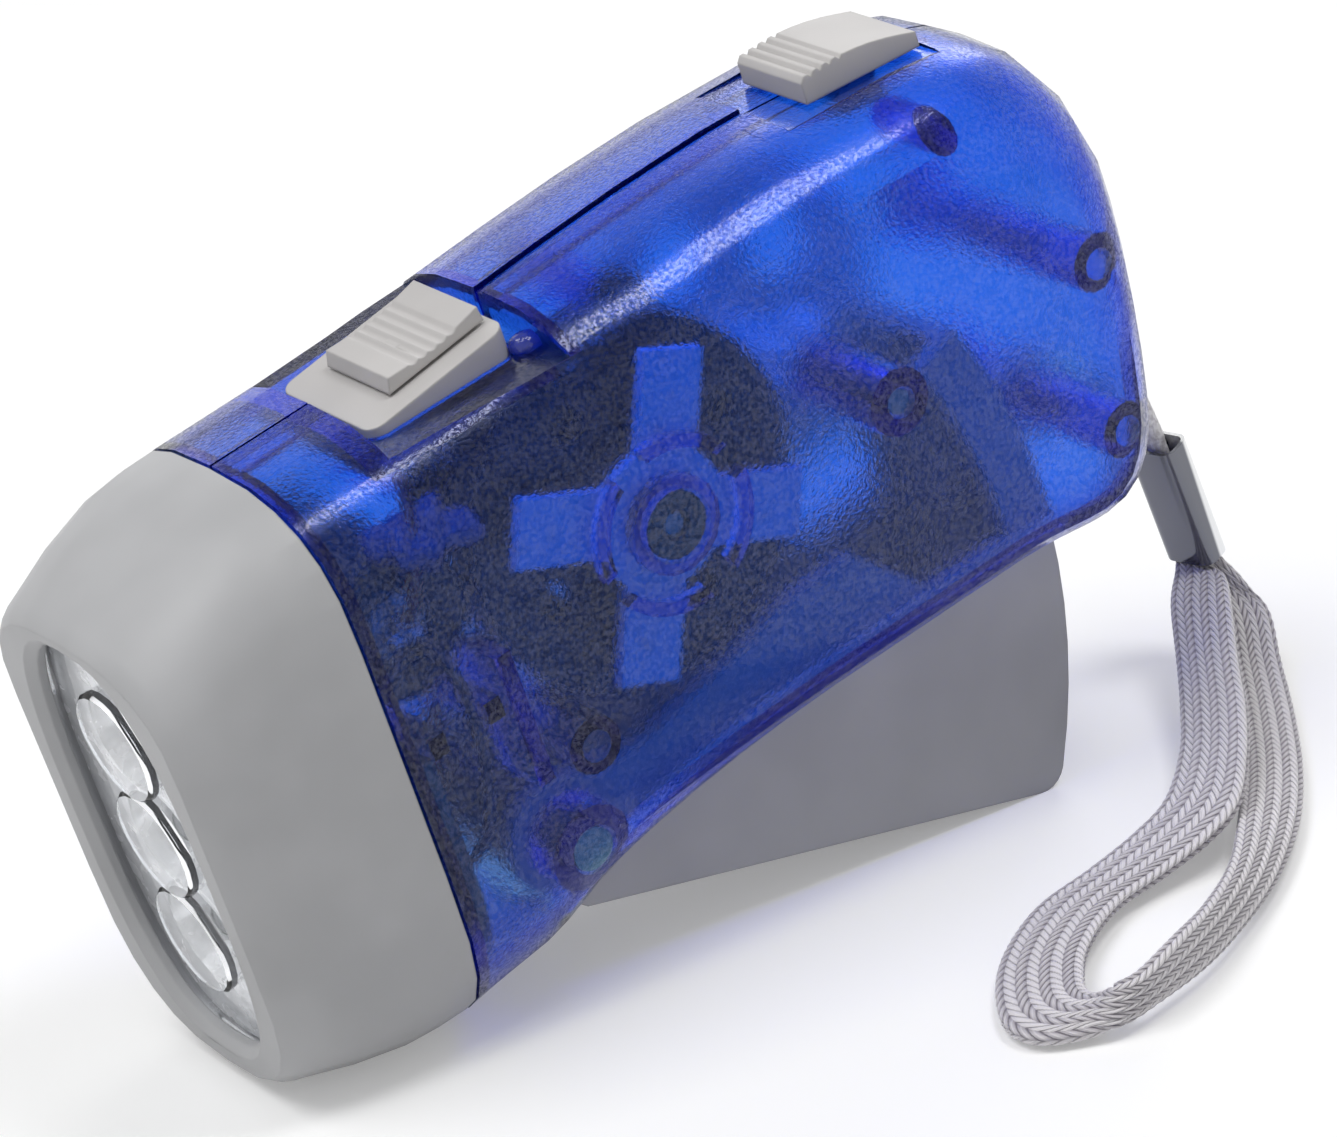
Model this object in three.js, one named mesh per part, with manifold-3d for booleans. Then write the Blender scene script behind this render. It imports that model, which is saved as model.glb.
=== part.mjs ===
// Squeeze-lever dynamo flashlight: two clear shells, a grey head, a lever that spins a flywheel dynamo.
// Torch frame: x runs back from the lens, y across with the left shell on the minus side, z up.
// Millimetres. The torch stands pitched on the rim of its head and the heel of its lever.
import * as THREE from 'three';
import { mergeVertices } from 'three/addons/utils/BufferGeometryUtils.js';
import Module from 'manifold-3d';

const wasm = await Module();
wasm.setup();

// Body
const headLength = 18.1;
const tailRoom = 16.1;
const bodyHalfWidth = 15.8;
const roofRoom = 2.6;
const shellWall = 1.6;
const wallSkin = 1.2;
const seamGap = 0.3;
const seatGap = 0.3;
const runningGap = 0.4;
const overrun = 2;
const seamLipWidth = 1.8;
const seamLipDepth = 0.7;
const seamStepWidth = 0.9;
const seamStepDepth = 0.35;

// Head
const bezelWall = 2;
const bezelBevel = 0.8;
const bezelLip = 0.8;
const openingHalfWidth = 10.5;
const openingHalfHeight = 19.7;
const frontHalfWidth = 13.4;
const frontRise = 21.2;
const frontDrop = 22;
const neckLength = 7;
const lensThickness = 1.2;
const lensMargin = 1.1;
const lensPadRadius = 5.2;
const lensPadHeight = 0.9;
const lensPadRound = 0.3;
const ledPitch = 9.9;
const ledRadius = 2.5;
const ledLength = 5.8;
const ledFlangeRadius = 2.9;
const ledFlangeThickness = 1;
const ledLegLength = 3.4;
const cupRadius = 4.8;
const cupDepth = 6.4;
const cupHoleRadius = 3.2;
const reflectorWall = 0.8;
const boardThickness = 1.2;

// Lever and its pivot
const pivotSetback = 13.6;
const pivotDrop = 14.7;
const leverStroke = 21.4;
const leverSideRoom = 4.2;
const leverWall = 1.6;
const leverFloor = 1.8;
const leverDepth = 7.5;
const rackRoom = 1;
const leverHeelRadius = 2.4;
const leverCheek = 5;
const leverTopAngle = 44;
const earRadius = 5.6;
const pinRadius = 2;
const pivotBossRadius = 4;
const springWire = 0.9;
const springCurls = 6;
const springCurlSteps = 8;
const springSides = 5;
const springHangAngle = -90;
const springPitch = 1.5;
const springLeg = 11;
const springFrontLeg = 6.6;

// Gear train
const toothModule = 0.8;
const backlash = 0.28;
const sectorTeeth = 125;
const sectorCut = 9;
const sectorHalfWidth = 2.5;
const rackBacking = 1.4;
const drivePinionTeeth = 10;
const driveGearTeeth = 40;
const flyPinionTeeth = 20;
const gearThickness = 1.2;
const driveBearing = 26.6;
const flyBearing = 175.7;
const axleRadius = 1.15;
const axleBossRadius = 3.1;
const sleeveRadius = 2.3;

// Flywheel and dynamo
const flyRadius = 16.4;
const magnetGap = 0.8;
const rimThickness = 3.1;
const rimDepth = 4.8;
const webThickness = 1;
const shaftRadius = 1;
const bushRadius = 3;
const hubBossRadius = 4.4;
const fenceRadius = 7.9;
const fenceWall = 1.2;
const spiderInset = 2;
const spiderArm = 6;
const spiderHub = 6.4;
const spiderBoss = 3.4;
const spiderThickness = 1;
const spiderTurn = 65;
const magnetWall = 3.2;
const poleCount = 6;

// Switch
const plateSetback = 11.1;
const plateLength = 14.7;
const plateHalfWidth = 7.2;
const plateCorner = 1.5;
const plateDropFront = 2.1;
const plateDropRear = 0.2;
const pocketDepth = 2.7;
const pocketRoomFront = 1.1;
const pocketRoomRear = 1.9;
const plateSink = 0.7;
const knobSetback = 3.8;
const knobLength = 10.3;
const knobHalfWidth = 4.8;
const knobHeight = 1.4;
const knobTravel = 2.5;
const knobRibs = 5;
const knobStem = 3;
const canLength = 10;
const canHalfWidth = 2.6;
const canHeight = 4.2;

// Lock slider
const lockInset = 24.1;
const lockLength = 12.4;
const lockHalfWidth = 4.6;
const lockHeight = 2.5;
const lockTravel = 3.4;
const lockRecess = 0.6;
const lockRecessHalfWidth = 6.8;
const lockRibs = 4;
const lockSlotHalfWidth = 2.2;
const lockFootLength = 3;

// Cells and boards
const cellRadius = 5.8;
const cellThickness = 5.2;
const cellCount = 3;
const cellSetback = 6.5;
const cellRise = 10.5;

// Screws and posts
const postRadius = 2.6;
const screwRadius = 1.15;
const screwHeadRadius = 2.4;
const screwHeadHeight = 1.5;
const screwLength = 19;

// Strap
const strapReach = 100;
const webbingThickness = 1.8;
const webbingPinched = 0.8;
const neckDiameter = 2;
const ferruleWidth = 5.6;
const ferruleDepth = 3.4;
const ferruleWall = 0.35;
const ferruleCorner = 1.2;
const neckInsert = 3.4;

const degrees = Math.PI / 180;
const squareness = 2.8;

// Torch-side outline of the seam, from the top of the head round the tail and back under the grip.
// Each row ends at a point; a row of six bends there. Shares: x of the length behind the head, z of the rise.
const seamOutlineShares = [
  [0, 0.972],
  [0.12, 0.978],
  [0.3, 0.99, 0.42, 1.06, 0.62, 1.062],
  [0.8, 1.045],
  [0.91, 1.03, 0.975, 0.905, 0.9945, 0.55],
  [1, 0.3, 0.99, -0.02, 0.972, -0.318],
  [0.959, -0.55, 0.925, -0.655, 0.867, -0.65],
  [0.83, -0.65, 0.795, -0.615, 0.736, -0.61],
  [0.477, -0.605],
  [0.359, -0.61, 0.265, -0.66, 0.188, -0.742],
  [0.141, -0.784, 0.118, -0.89, 0.053, -0.905],
  [0, -0.933],
];
// The flat of the side, where the rounded edge ends.
const flatOutlineShares = [
  [0, 0.512],
  [0.12, 0.53],
  [0.3, 0.56, 0.42, 0.6, 0.62, 0.6],
  [0.783, 0.58],
  [0.842, 0.57, 0.878, 0.46, 0.887, 0.28],
  [0.895, 0.124, 0.893, -0.071, 0.8845, -0.212],
  [0.8775, -0.353, 0.86, -0.445, 0.8245, -0.452],
  [0.801, -0.452, 0.7715, -0.424, 0.736, -0.424],
  [0.477, -0.417],
  [0.359, -0.417, 0.2886, -0.41, 0.218, -0.389],
  [0.171, -0.3746, 0.1355, -0.339, 0.0824, -0.304],
  [0, -0.283],
];
const bendSteps = 5;
const crownSteps = 6;

function material(color, roughness, metalness = 0, opacity = 1) {
  return new THREE.MeshStandardMaterial({
    color, roughness, metalness, opacity, transparent: opacity < 1,
  });
}

const clearBlue = material(0x2438c8, 0.35, 0, 0.55);
const headGrey = material(0xa9abb0, 0.55);
const buttonGrey = material(0xc9c6c2, 0.5);
const leverGrey = material(0x85878d, 0.55);
const whiteNylon = material(0xe4e6e8, 0.5);
const darkIron = material(0x2b2d31, 0.55, 0.4);
const steel = material(0xc4c7cc, 0.25, 1);
const chrome = material(0xe6e8ea, 0.08, 1);
const copper = material(0xb0652f, 0.4, 1);
const greenBoard = material(0x1f6a3c, 0.5);
const clearLens = material(0xf0f4f8, 0.05, 0, 0.35);
const blackPlastic = material(0x1c1c1f, 0.5);
const webbing = material(0xc6c2ca, 0.9);

const torch = new THREE.Group();
const strap = new THREE.Group();

function place(name, geometry, finish, group = torch) {
  geometry.computeVertexNormals();
  const mesh = new THREE.Mesh(geometry, finish);
  mesh.name = name;
  group.add(mesh);
  return mesh;
}

function solid(geometry) {
  const bare = geometry.clone();
  bare.deleteAttribute('normal');
  bare.deleteAttribute('uv');
  const welded = mergeVertices(bare, 1e-4);
  const mesh = new wasm.Mesh({
    numProp: 3,
    vertProperties: new Float32Array(welded.attributes.position.array),
    triVerts: new Uint32Array(welded.index.array),
  });
  return new wasm.Manifold(mesh);
}

function toGeometry(body) {
  const mesh = body.getMesh();
  const geometry = new THREE.BufferGeometry();
  geometry.setAttribute('position', new THREE.BufferAttribute(new Float32Array(mesh.vertProperties), 3));
  geometry.setIndex(new THREE.BufferAttribute(new Uint32Array(mesh.triVerts), 1));
  return geometry;
}

function join(first, ...others) {
  return others.reduce((whole, piece) => whole.add(piece), first);
}

function cut(first, ...others) {
  return others.reduce((whole, piece) => whole.subtract(piece), first);
}

// Closed solid through rings of equal count, capped flat at both ends.
function loft(rings) {
  const count = rings[0].length;
  const positions = rings.flat().flatMap((point) => [point.x, point.y, point.z]);
  const index = [];
  for (let ring = 0; ring + 1 < rings.length; ring += 1) {
    for (let step = 0; step < count; step += 1) {
      const next = (step + 1) % count;
      const a = ring * count + step;
      const b = ring * count + next;
      index.push(a, b, b + count, a, b + count, a + count);
    }
  }
  capRing(rings[0], 0, false, index);
  capRing(rings[rings.length - 1], (rings.length - 1) * count, true, index);
  return outward(positions, index);
}

function capRing(ring, first, last, index) {
  const across = ring.every((point) => Math.abs(point.y - ring[0].y) < Math.abs(seatGap));
  const flat = ring.map((point) => (across
    ? new THREE.Vector2(point.x, point.z)
    : new THREE.Vector2(point.y, point.z)));
  const turned = THREE.ShapeUtils.area(flat) > 0;
  const order = flat.map((point, i) => i);
  if (!turned) order.reverse();
  const triangles = THREE.ShapeUtils.triangulateShape(order.map((i) => flat[i]), []);
  const flip = turned === last;
  for (const [a, b, c] of triangles) {
    const corners = [order[a], order[b], order[c]].map((i) => i + first);
    if (!flip) corners.reverse();
    index.push(...corners);
  }
}

// Geometry from corner positions and triangles, turned to face out.
function outward(positions, index) {
  if (signedVolume(positions, index) < 0) {
    for (let i = 0; i < index.length; i += 3) {
      [index[i], index[i + 1]] = [index[i + 1], index[i]];
    }
  }
  const geometry = new THREE.BufferGeometry();
  geometry.setAttribute('position', new THREE.Float32BufferAttribute(positions, 3));
  geometry.setIndex(index);
  return geometry;
}

function signedVolume(positions, index) {
  let volume = 0;
  const corner = (i) => new THREE.Vector3().fromArray(positions, 3 * i);
  for (let i = 0; i < index.length; i += 3) {
    volume += corner(index[i]).dot(corner(index[i + 1]).cross(corner(index[i + 2])));
  }
  return volume;
}

// Side-view shape (x, z) spanning y from low to high.
function sideSolid(shape, low, high, curveSegments = 12) {
  const geometry = new THREE.ExtrudeGeometry(shape, {
    depth: high - low, bevelEnabled: false, curveSegments,
  });
  geometry.rotateX(90 * degrees);
  geometry.translate(0, high, 0);
  return geometry;
}

// Front-view shape (y, z) spanning x from low to high.
function frontSolid(shape, low, high, curveSegments = 12) {
  const geometry = new THREE.ExtrudeGeometry(shape, {
    depth: high - low, bevelEnabled: false, curveSegments,
  });
  const turn = new THREE.Matrix4().makeBasis(
    new THREE.Vector3(0, 1, 0), new THREE.Vector3(0, 0, 1), new THREE.Vector3(1, 0, 0));
  geometry.applyMatrix4(turn);
  geometry.translate(low, 0, 0);
  return geometry;
}

function rod(radius, low, high, x, z, sides = 16) {
  const geometry = new THREE.CylinderGeometry(radius, radius, high - low, sides);
  geometry.translate(x, (low + high) / 2, z);
  return geometry;
}

function ring(outer, inner, low, high, x, z, sides = 24) {
  return toGeometry(cut(
    solid(rod(outer, low, high, x, z, sides)),
    solid(rod(inner, low - overrun, high + overrun, x, z, sides))));
}

function box(x0, x1, y0, y1, z0, z1) {
  const geometry = new THREE.BoxGeometry(x1 - x0, y1 - y0, z1 - z0);
  geometry.translate((x0 + x1) / 2, (y0 + y1) / 2, (z0 + z1) / 2);
  return geometry;
}

function polar(centre, radius, angle) {
  return new THREE.Vector2(
    centre.x + radius * Math.cos(angle * degrees),
    centre.y + radius * Math.sin(angle * degrees));
}

// Places that the mechanism fixes
const pivot = new THREE.Vector2(headLength + pivotSetback, -pivotDrop);
const sectorRadius = sectorTeeth * toothModule / 2;
const sectorRoot = sectorRadius + 1.25 * toothModule;
const leverReach = sectorRoot + rackBacking + rackRoom + leverFloor;
const bodyLength = pivot.x + leverReach + tailRoom;
const drivePinionRadius = drivePinionTeeth * toothModule / 2;
const driveGearRadius = driveGearTeeth * toothModule / 2;
const flyPinionRadius = flyPinionTeeth * toothModule / 2;
const axle = polar(pivot, sectorRadius - drivePinionRadius, driveBearing);
const hub = polar(axle, driveGearRadius + flyPinionRadius, flyBearing);
const bodyRise = hub.y + flyRadius + roofRoom + shellWall;
const innerHalfWidth = bodyHalfWidth - shellWall;
const leverHalfWidth = innerHalfWidth - leverSideRoom;
const spiderReach = flyRadius - spiderInset;
const magnetRadius = flyRadius - rimThickness - seatGap;
const coreRadius = magnetRadius - magnetWall - magnetGap;
const coreDepth = rimDepth + runningGap;
const plateStart = headLength + plateSetback;
const plateRiseFront = bodyRise - plateDropFront;
const plateRiseRear = bodyRise - plateDropRear;
const pocketFloor = bodyRise - pocketDepth;
const pocketFront = plateStart - pocketRoomFront;
const pocketRear = plateStart + plateLength + pocketRoomRear;
const knobStart = plateStart + knobSetback;
const lockStart = bodyLength - lockInset;
const cell = new THREE.Vector2(headLength + cellSetback, cellRise);
const gearLow = leverHalfWidth + runningGap;
const gearHigh = gearLow + gearThickness;

// Body shell: crowned rings between the seam outline and the flat of the side

function outlinePoints(shares) {
  const path = new THREE.Path();
  const x = (share) => headLength + share * (bodyLength - headLength);
  const z = (share) => share * bodyRise;
  const [start, ...rows] = shares;
  path.moveTo(x(start[0]), z(start[1]));
  for (const row of rows) {
    if (row.length === 2) path.lineTo(x(row[0]), z(row[1]));
    else path.bezierCurveTo(x(row[0]), z(row[1]), x(row[2]), z(row[3]), x(row[4]), z(row[5]));
  }
  return path.getPoints(bendSteps);
}

const seamOutline = outlinePoints(seamOutlineShares);
const flatOutline = outlinePoints(flatOutlineShares);

function insetOutline(points, inset) {
  const last = points.length - 1;
  return points.map((point, i) => {
    const before = points[Math.max(i - 1, 0)];
    const after = points[Math.min(i + 1, last)];
    const along = after.clone().sub(before).normalize();
    const inward = new THREE.Vector2(along.y, -along.x);
    if (i === 0) inward.set(0, -1);
    if (i === last) inward.set(0, 1);
    return point.clone().addScaledVector(inward, inset);
  });
}

function crownRings(seamPoints, flatPoints, yStart, yEnd, side) {
  const rings = [];
  for (let step = 0; step <= crownSteps; step += 1) {
    const angle = (step / crownSteps) * 90 * degrees;
    const outward = Math.sin(angle) ** (2 / squareness);
    const fall = step === crownSteps ? 0 : Math.cos(angle) ** (2 / squareness);
    const y = side * (yStart + (yEnd - yStart) * outward);
    rings.push(seamPoints.map((point, i) => new THREE.Vector3(
      flatPoints[i].x + (point.x - flatPoints[i].x) * fall,
      y,
      flatPoints[i].y + (point.y - flatPoints[i].y) * fall)));
  }
  return rings;
}

function bodyHalf(side) {
  return loft(crownRings(seamOutline, flatOutline, seamGap / 2, bodyHalfWidth, side));
}

function bodyCavity(side) {
  const inner = insetOutline(seamOutline, shellWall);
  const flat = insetOutline(flatOutline, shellWall / 2);
  for (const points of [inner, flat]) {
    points[0].x -= overrun;
    points[points.length - 1].x -= overrun;
  }
  const rings = crownRings(inner, flat, 0, innerHalfWidth, side);
  rings.unshift(rings[0].map((point) => point.clone().setY(-side * overrun)));
  return loft(rings);
}

function topAt(x, inset) {
  const points = insetOutline(seamOutline, inset);
  const top = points.slice(0, Math.floor(points.length / 2));
  const i = Math.max(1, top.findIndex((point) => point.x >= x));
  const share = (x - top[i - 1].x) / (top[i].x - top[i - 1].x);
  return top[i - 1].y + share * (top[i].y - top[i - 1].y);
}

// Band along the top of the seam between two insets, spanning y from low to high
function seamBand(x0, x1, from, to, low, high) {
  const steps = 8;
  const stations = Array.from({ length: steps + 1 }, (unused, i) => x0 + (x1 - x0) * i / steps);
  const edge = (inset) => stations.map((x) => new THREE.Vector2(x, topAt(x, inset)));
  return solid(sideSolid(new THREE.Shape([...edge(from), ...edge(to).reverse()]), low, high));
}

// Head sections: shares of the way from the front of the bezel to the shells
const bezelRowShares = [
  [0, 0, 0],
  [0.03, 0.1, 0.22],
  [0.085, 0.19, 0.42],
  [0.18, 0.31, 0.6],
  [0.37, 0.6, 0.8],
  [0.64, 0.9, 0.95],
  [0.82, 0.98, 0.99],
  [1, 1, 1],
];
const sectionSteps = 6;

function sectionRing(x, halfWidth, rise, drop, flatRise, flatDrop) {
  const points = [];
  const quarter = (corner, fromSide) => {
    for (let step = 0; step <= sectionSteps; step += 1) {
      const share = fromSide ? 1 - step / sectionSteps : step / sectionSteps;
      const outward = Math.sin(share * 90 * degrees) ** (2 / squareness);
      const fall = share === 1 ? 0 : Math.cos(share * 90 * degrees) ** (2 / squareness);
      if (fromSide && share === 0) continue;
      if (!fromSide && share === 0 && points.length) continue;
      points.push(corner(outward, fall));
    }
  };
  const top = (sign) => (outward, fall) => new THREE.Vector3(
    x, sign * halfWidth * outward, flatRise + (rise - flatRise) * fall);
  const bottom = (sign) => (outward, fall) => new THREE.Vector3(
    x, sign * halfWidth * outward, -flatDrop - (drop - flatDrop) * fall);
  quarter(top(1), false);
  quarter(bottom(1), true);
  points.push(new THREE.Vector3(x, 0, -drop));
  quarter(bottom(-1), false);
  quarter(top(-1), true);
  return points;
}

const headRise = seamOutlineShares[0][1] * bodyRise;
const headDrop = -seamOutlineShares[seamOutlineShares.length - 1][1] * bodyRise;
const headFlatRise = flatOutlineShares[0][1] * bodyRise;
const headFlatDrop = -flatOutlineShares[flatOutlineShares.length - 1][1] * bodyRise;

function headRow(share, heightShare, widthShare, inset) {
  const blend = (from, to, part) => from + (to - from) * part;
  return sectionRing(
    share * headLength,
    blend(frontHalfWidth, bodyHalfWidth, widthShare) - inset,
    blend(frontRise, headRise, heightShare) - inset,
    blend(frontDrop, headDrop, heightShare) - inset,
    blend(frontRise, headRise, heightShare) * headFlatRise / headRise,
    blend(frontDrop, headDrop, heightShare) * headFlatDrop / headDrop);
}

// Height and width shares of the head profile at a distance x behind the front.
function headSharesAt(x) {
  const share = x / headLength;
  const i = Math.max(1, bezelRowShares.findIndex((row) => row[0] >= share));
  const [before, after] = [bezelRowShares[i - 1], bezelRowShares[i]];
  const part = (share - before[0]) / (after[0] - before[0]);
  return [1, 2].map((column) => before[column] + part * (after[column] - before[column]));
}

function headSlice(from, to, inset, slices = 3) {
  const rings = [];
  for (let slice = 0; slice <= slices; slice += 1) {
    const x = from + (to - from) * slice / slices;
    rings.push(headRow(x / headLength, ...headSharesAt(Math.min(x, headLength)), inset));
  }
  return loft(rings);
}

function openingPoints(margin) {
  const count = 36;
  const power = (value) => Math.sign(value) * Math.abs(value) ** (2 / squareness);
  return Array.from({ length: count }, (unused, step) => {
    const angle = step / count * 360 * degrees;
    return new THREE.Vector2(
      (openingHalfWidth + margin) * power(Math.cos(angle)),
      (openingHalfHeight + margin) * power(Math.sin(angle)));
  });
}

function headOpening(margin, low, high) {
  return frontSolid(new THREE.Shape(openingPoints(margin)), low, high);
}

// Bevel that opens the window towards the front
function openingBevel() {
  const section = (x) => openingPoints(bezelBevel - x).map((point) => new THREE.Vector3(x, point.x, point.y));
  return loft([section(-overrun), section(bezelBevel)]);
}

const lipEnd = bezelBevel + bezelLip;
const lensStart = lipEnd + seatGap;
const lensEnd = lensStart + lensThickness;
const reflectorStart = lensEnd + seatGap;
const reflectorEnd = reflectorStart + cupDepth;
const ledBoardStart = reflectorEnd + ledFlangeThickness + 2 * seatGap;
const ledBoardEnd = ledBoardStart + boardThickness;
const neckStart = headLength - neckLength;

function makeBezel() {
  const outer = solid(loft(bezelRowShares.map((row) => headRow(row[0], row[1], row[2], 0))));
  const hollow = solid(headSlice(reflectorStart + reflectorWall + seatGap, headLength, bezelWall));
  const tail = solid(headSlice(headLength - seatGap, headLength, bezelWall)).translate([seatGap, 0, 0]);
  const lensSeat = solid(headOpening(lensMargin + seatGap, lipEnd, reflectorStart + reflectorWall + 2 * seatGap));
  const window = solid(headOpening(0, 0, lipEnd + seatGap));
  const body = cut(outer, hollow, tail, lensSeat, window, solid(openingBevel()))
    .subtract(solid(box(headLength - seatGap, headLength + overrun, -bodyHalfWidth, bodyHalfWidth,
      -bodyRise, bodyRise)));
  place('head_bezel', toGeometry(body), headGrey);
}

const ledHeights = [ledPitch, 0, -ledPitch];

// Clear window with a round raised lens before each lamp
function makeLens() {
  const front = lensStart - lensPadHeight;
  const profile = [
    [0, front],
    [lensPadRadius - lensPadRound, front],
    [lensPadRadius, front + lensPadRound],
    [lensPadRadius, lensStart + lensThickness / 2],
    [0, lensStart + lensThickness / 2],
  ];
  const pads = ledHeights.map((height) => solid(frontLathe(profile, height, 22)));
  place('lens_window', toGeometry(join(solid(headOpening(lensMargin, lensStart, lensEnd)), ...pads)), clearLens);
}

function frontLathe(profile, z, sides = 28) {
  const turned = profile[0][1] > profile[profile.length - 1][1] ? [...profile].reverse() : profile;
  const geometry = new THREE.LatheGeometry(turned.map(([radius, x]) => new THREE.Vector2(radius, x)), sides);
  geometry.rotateZ(-90 * degrees);
  geometry.translate(0, 0, z);
  return geometry;
}

function makeReflector() {
  let body = solid(headOpening(lensMargin, reflectorStart, reflectorStart + reflectorWall));
  const cupPoint = (share, wall) => {
    const radius = cupHoleRadius + (cupRadius - cupHoleRadius) * Math.sqrt(share) + wall;
    return [radius, reflectorEnd - share * cupDepth];
  };
  const stations = [0, 0.3, 1];
  for (const height of ledHeights) {
    const outer = [[0, reflectorEnd], ...stations.map((share) => cupPoint(share, reflectorWall)), [0, reflectorStart]];
    body = body.add(solid(frontLathe(outer, height, 20)));
  }
  for (const height of ledHeights) {
    const inner = [
      [0, reflectorEnd + overrun],
      [cupHoleRadius, reflectorEnd + overrun],
      ...stations.map((share) => cupPoint(share, 0)),
      [cupRadius, reflectorStart - overrun],
      [0, reflectorStart - overrun],
    ];
    body = body.subtract(solid(frontLathe(inner, height, 20)));
  }
  place('reflector', toGeometry(body), chrome);
}

function makeLeds() {
  const flangeEnd = ledBoardStart - seatGap;
  const flangeStart = flangeEnd - ledFlangeThickness;
  ledHeights.forEach((height, i) => {
    const dome = [[0, flangeStart - ledLength]];
    for (const angle of [25, 50, 75]) {
      dome.push([ledRadius * Math.sin(angle * degrees),
        flangeStart - ledLength + ledRadius * (1 - Math.cos(angle * degrees))]);
    }
    dome.push([ledRadius, flangeStart - ledLength + ledRadius]);
    dome.push([ledRadius, flangeStart]);
    dome.push([ledFlangeRadius, flangeStart]);
    dome.push([ledFlangeRadius, flangeEnd]);
    dome.push([0, flangeEnd]);
    place(`led_${i + 1}`, frontLathe(dome, height, 14), clearLens);
  });
}

function makeLedBoard() {
  const board = headSlice(ledBoardStart, ledBoardEnd, bezelWall + shellWall + 2 * seatGap, 1);
  place('led_board', board, greenBoard);
}

// Everything moulded into a shell half, kept inside the body's own outline
function shellDetails(side) {
  const wallSide = side * (bodyHalfWidth + overrun);
  const span = (inner) => (side < 0 ? [wallSide, -inner] : [inner, wallSide]);
  const details = [];
  for (const post of screwPosts) {
    details.push(solid(rod(postRadius, ...span(seamGap), post.x, post.y)));
    if (side > 0) {
      const foot = postHeadSeat - seatGap - wellWall;
      details.push(solid(rod(screwHeadRadius + seatGap + wellWall, ...span(foot), post.x, post.y)));
    }
  }
  details.push(solid(rod(pivotBossRadius, ...span(leverHalfWidth + runningGap), pivot.x, pivot.y)));
  const axleInner = side < 0 ? sectorHalfWidth + 2 * runningGap : gearHigh + runningGap;
  details.push(solid(rod(axleBossRadius, ...span(axleInner), axle.x, axle.y)));
  const hubInner = side < 0 ? bushEndLeft : gearHigh + runningGap;
  details.push(solid(rod(hubBossRadius, ...span(hubInner), hub.x, hub.y)));
  if (side < 0) details.push(solid(hubFence(span(bushEndLeft))));
  if (side > 0) {
    for (const ear of bracketEars()) {
      details.push(solid(rod(bracketPostRadius, ...span(bracketPostEnd), ear.x, ear.y)));
    }
    details.push(solid(box(springRibX, springRibX + springRibLength, ...span(springRibInner),
      springRibLow, springRibLow + shellWall)));
  }
  details.push(solid(box(ribX, ribX + shellWall, ...span(ribInner), -ribReach, ribReach)));
  const lip = side < 0 ? [-seamLipWidth, -seamGap / 2] : [seamGap / 2, seamLipWidth];
  details.push(seamBand(headLength + seamGap, lockRecessEnd + shellWall, shellWall / 2,
    shellWall + seamLipDepth, ...lip));
  details.push(solid(rod(pegRadius, ...span(lockRecessHalfWidth - pegRadius), peg.x, peg.y)));
  for (const x of [cell.x - cellRadius / 2, cell.x + cellRadius / 2]) {
    const low = cell.y - cellRadius - sleeveWall - 3 * seatGap - cradleDepth;
    details.push(solid(box(x - shellWall / 2, x + shellWall / 2, ...span(seamGap / 2), low,
      low + cradleDepth)));
  }
  return details;
}

const springRibReach = 9.5;
const springRibLength = 3.2;
const springRibInner = 3.2;
const springRibRise = 0.4;
const springRibX = pivot.x - springRibReach;
const springRibLow = pivot.y + springRibRise;
const ribSetback = 10.9;
const ribX = headLength + ribSetback;
const ribInner = 9;
const ribReach = 6.5;
const pegInset = 17.4;
const pegDrop = 3.9;
const peg = new THREE.Vector2(bodyLength - pegInset, bodyRise - pegDrop);
const pegRadius = 1.7;
const sleeveWall = 0.4;
const cradleDepth = 2;
const bushSetIn = 1.2;
const bushEndLeft = innerHalfWidth - bushSetIn;
const tailPostInset = 7.1;
const tailPostRise = 6.6;
const strapPostInset = 8.9;
const strapPostDrop = 9.6;
const frontPostRoom = 0.5;
const frontPostBearing = 224.6;
const screwPosts = [
  new THREE.Vector2(bodyLength - tailPostInset, tailPostRise),
  new THREE.Vector2(bodyLength - strapPostInset, -strapPostDrop),
  polar(hub, flyRadius + frontPostRoom + postRadius, frontPostBearing),
];

// Ring wall that guards the hub, parted over the gaps between the spider's arms.
function hubFence([low, high]) {
  const shape = new THREE.Shape();
  shape.absarc(hub.x, hub.y, fenceRadius, 0, 360 * degrees);
  const hole = new THREE.Path();
  hole.absarc(hub.x, hub.y, fenceRadius - fenceWall, 0, 360 * degrees, true);
  shape.holes.push(hole);
  let fence = solid(sideSolid(shape, low, high, 20));
  const slot = fenceWall * 2.6;
  for (const turn of [spiderTurn - 45, spiderTurn + 45]) {
    const bar = box(-fenceRadius - overrun, fenceRadius + overrun, low - overrun, high + overrun, -slot / 2, slot / 2);
    bar.rotateY(-turn * degrees);
    bar.translate(hub.x, 0, hub.y);
    fence = fence.subtract(solid(bar));
  }
  return toGeometry(fence);
}

// Swept room of the lever through the open underside
function leverRoom() {
  const half = leverHalfWidth + runningGap;
  const reach = leverReach + runningGap;
  const shape = new THREE.Shape();
  const front = pivot.x - leverFrontRoom;
  shape.moveTo(front, pivot.y + earRadius / 2);
  shape.lineTo(front, pivot.y - 2 * leverDepth);
  shape.lineTo(pivot.x + leverReach / 2, pivot.y - leverReach / 2);
  for (let angle = -leverStroke * 2; angle <= 4; angle += 4) {
    const point = polar(pivot, reach, angle);
    shape.lineTo(point.x, point.y);
  }
  return solid(sideSolid(shape, -half, half));
}
const leverFrontRoom = 3;

// Pocket under the switch plate: a thick floor, a sunk seat and a slot for the stem
const padMargin = 1.1;

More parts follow.
